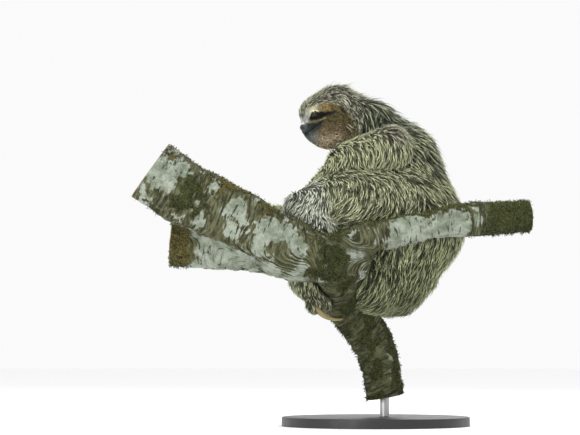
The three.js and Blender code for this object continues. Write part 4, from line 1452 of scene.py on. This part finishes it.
def make_moss(points, normal, uv, mossy, warm, material):
    """Short blades of moss that stand on the bark where it is mossy."""
    rng = np.random.default_rng(SEED + 1)
    chance = mossy**2 * ramp(body(points), 2, 10)
    spots = rng.choice(len(points), MOSS_BLADES, p=chance / chance.sum())
    root = points[spots] + rng.normal(0, 1.0, (MOSS_BLADES, 3))
    out = unit(normal[spots] + rng.normal(0, 0.6, (MOSS_BLADES, 3)))
    side = unit(np.cross(out, rng.normal(size=(MOSS_BLADES, 3))))
    across = np.cross(out, side)
    tall = rng.uniform(1.2, 3.8, (MOSS_BLADES, 1))
    wide = rng.uniform(0.3, 0.55, (MOSS_BLADES, 1))
    thirds = np.arange(STRAND_SIDES) * 2 * math.pi / STRAND_SIDES
    foot = [root - out + wide * (side * math.cos(a) + across * math.sin(a)) for a in thirds]
    middle = [corner + out * (0.6 * tall + 1) for corner in foot]
    tip = root + out * tall + DOWN * 0.25 * tall
    blades = np.stack(foot + middle + [tip], axis=1).reshape(-1, 3)
    faces = strand_faces(MOSS_BLADES, BLADE_STEPS)
    made = mesh_object("moss", blades, faces)
    lay_out(made, on_patches(uv[spots], BLADE_STEPS), faces)
    # Random ripeness, with painted light from above: blades are paler where the bark faces up.
    ripe_and_top_lit = ramp(rng.random(MOSS_BLADES) + 0.4 * ramp(normal[spots][:, 2], 0, 1), 0.4, 1.4)
    rust = np.clip(warm[spots] + rng.normal(0, 0.2, MOSS_BLADES), 0, 1)
    tint = mix(mix(MOSS_DEEP, MOSS_PALE, ripe_and_top_lit), mix(RUST_DEEP, RUST_PALE, ripe_and_top_lit), rust)
    tint = tint * rng.uniform(0.5, 1.3, (MOSS_BLADES, 1))
    paint(made, tint.repeat(strand_points(BLADE_STEPS), axis=0))
    place(made, "bark", material)


# ---------------------------------------------------------------------------------- the stand

BASE_RADIUS, BASE_THICK, BASE_BEVEL = 140, 14, 2
ROD_AT, ROD_RADIUS, ROD_LENGTH, ROD_BEVEL = at(14, 12, 14.35), 7, 72, 0.5
SHARP = math.radians(35)


def rounded(radius, high, bevel, steps):
    """A profile of (radius, height) from the axis to the axis, with its top edge rounded off."""
    turn = np.linspace(0, math.pi / 2, steps + 1)
    edge = [(radius - bevel + bevel * math.cos(a), high - bevel + bevel * math.sin(a)) for a in turn]
    return [(0, 0), (radius, 0)] + edge + [(0, high)]


def turned_piece(name, profile, sides, foot):
    """A piece turned on a lathe from its profile, standing on that place."""
    work = bmesh.new()
    line = [work.verts.new((r * MM, 0, h * MM)) for r, h in profile]
    edges = [work.edges.new(pair) for pair in zip(line, line[1:])]
    bmesh.ops.spin(
        work, geom=line + edges, cent=(0, 0, 0), axis=(0, 0, 1), angle=2 * math.pi, steps=sides,
    )
    bmesh.ops.remove_doubles(work, verts=work.verts, dist=1e-6)
    bmesh.ops.recalc_face_normals(work, faces=work.faces)
    made = worked_object(name, work)
    made.data.set_sharp_from_angle(angle=SHARP)
    set_points(made.data, points_of(made.data) + foot)
    return made


def make_stand(lacquer, steel):
    disc = rounded(BASE_RADIUS, BASE_THICK, BASE_BEVEL, steps=4)
    place(turned_piece("base", disc, 128, at(0, 0, 0)), "stand", lacquer, "stand_base")
    pin = rounded(ROD_RADIUS, ROD_LENGTH, ROD_BEVEL, steps=2)
    place(turned_piece("rod", pin, 48, ROD_AT), "rod", steel, "stand_rod")


# --------------------------------------------------------------- the floor, lights and camera

CAMERA_AT = (-0.1275, -2.99269, 0.10198)  # in metres
CAMERA_TILT = math.radians(94)
FILM = 36  # how wide the camera's sensor is
CAMERA_LENS = FILM * 3000 / 870  # a picture 870 mm wide at a distance of 3 m
SKY_STRENGTH = 0.96


def make_camera():
    camera = linked("camera", bpy.data.cameras.new("camera"))
    camera.location = CAMERA_AT
    camera.rotation_euler = (CAMERA_TILT, 0, 0)
    camera.data.sensor_width = FILM
    camera.data.lens = CAMERA_LENS
    bpy.context.scene.camera = camera


def make_light(name, place_at, target, size, power, colour):
    """A soft square light that faces its target, with its places and size in metres."""
    light = bpy.data.lights.new(name, "AREA")
    light.energy, light.size, light.color = power, size, colour
    made = linked(name, light)
    made.location = place_at
    aim = at(*target) - at(*place_at)
    pitch, turn = math.acos(-aim[2] / np.linalg.norm(aim)), math.atan2(aim[1], aim[0])
    made.rotation_euler = (pitch, 0, turn - math.pi / 2)


def make_room():
    """A plain pale floor under an even pale sky, with three soft lights."""
    bpy.ops.mesh.primitive_plane_add(size=30)
    floor = bpy.context.object
    floor.name = "floor"
    floor.data.materials.append(floor_material())
    world = bpy.data.worlds.new("sky")
    world.use_nodes = True
    sky = world.node_tree.nodes["Background"]
    sky.inputs["Color"].default_value = (1.0, 1.0, 1.0, 1)
    sky.inputs["Strength"].default_value = SKY_STRENGTH
    bpy.context.scene.world = world
    make_light("key", (-0.9, -1.4, 2.4), (0, 0, 0.3), 1.4, 40, (1, 0.99, 0.96))
    make_light("fill", (-1.1, -1.4, 0.2), (-0.08, -0.04, 0.42), 1.0, 9, (1, 1, 1))
    make_light("back", (0.8, 1.6, 1.9), (0, 0, 0.35), 1.5, 26, (0.97, 0.99, 1))
    bpy.context.scene.view_settings.view_transform = "Standard"


def main():
    make_camera()
    make_room()
    make_stand(stand_material(), rod_material())
    make_perch(bark_material(), moss_material())
    bare = make_skin(skin_material())
    make_coat(bare, hair_material())
    for side in ("left", "right"):
        make_eye(side, eye_material())
    make_nose(nose_material())
    make_claws(claw_material())


main()
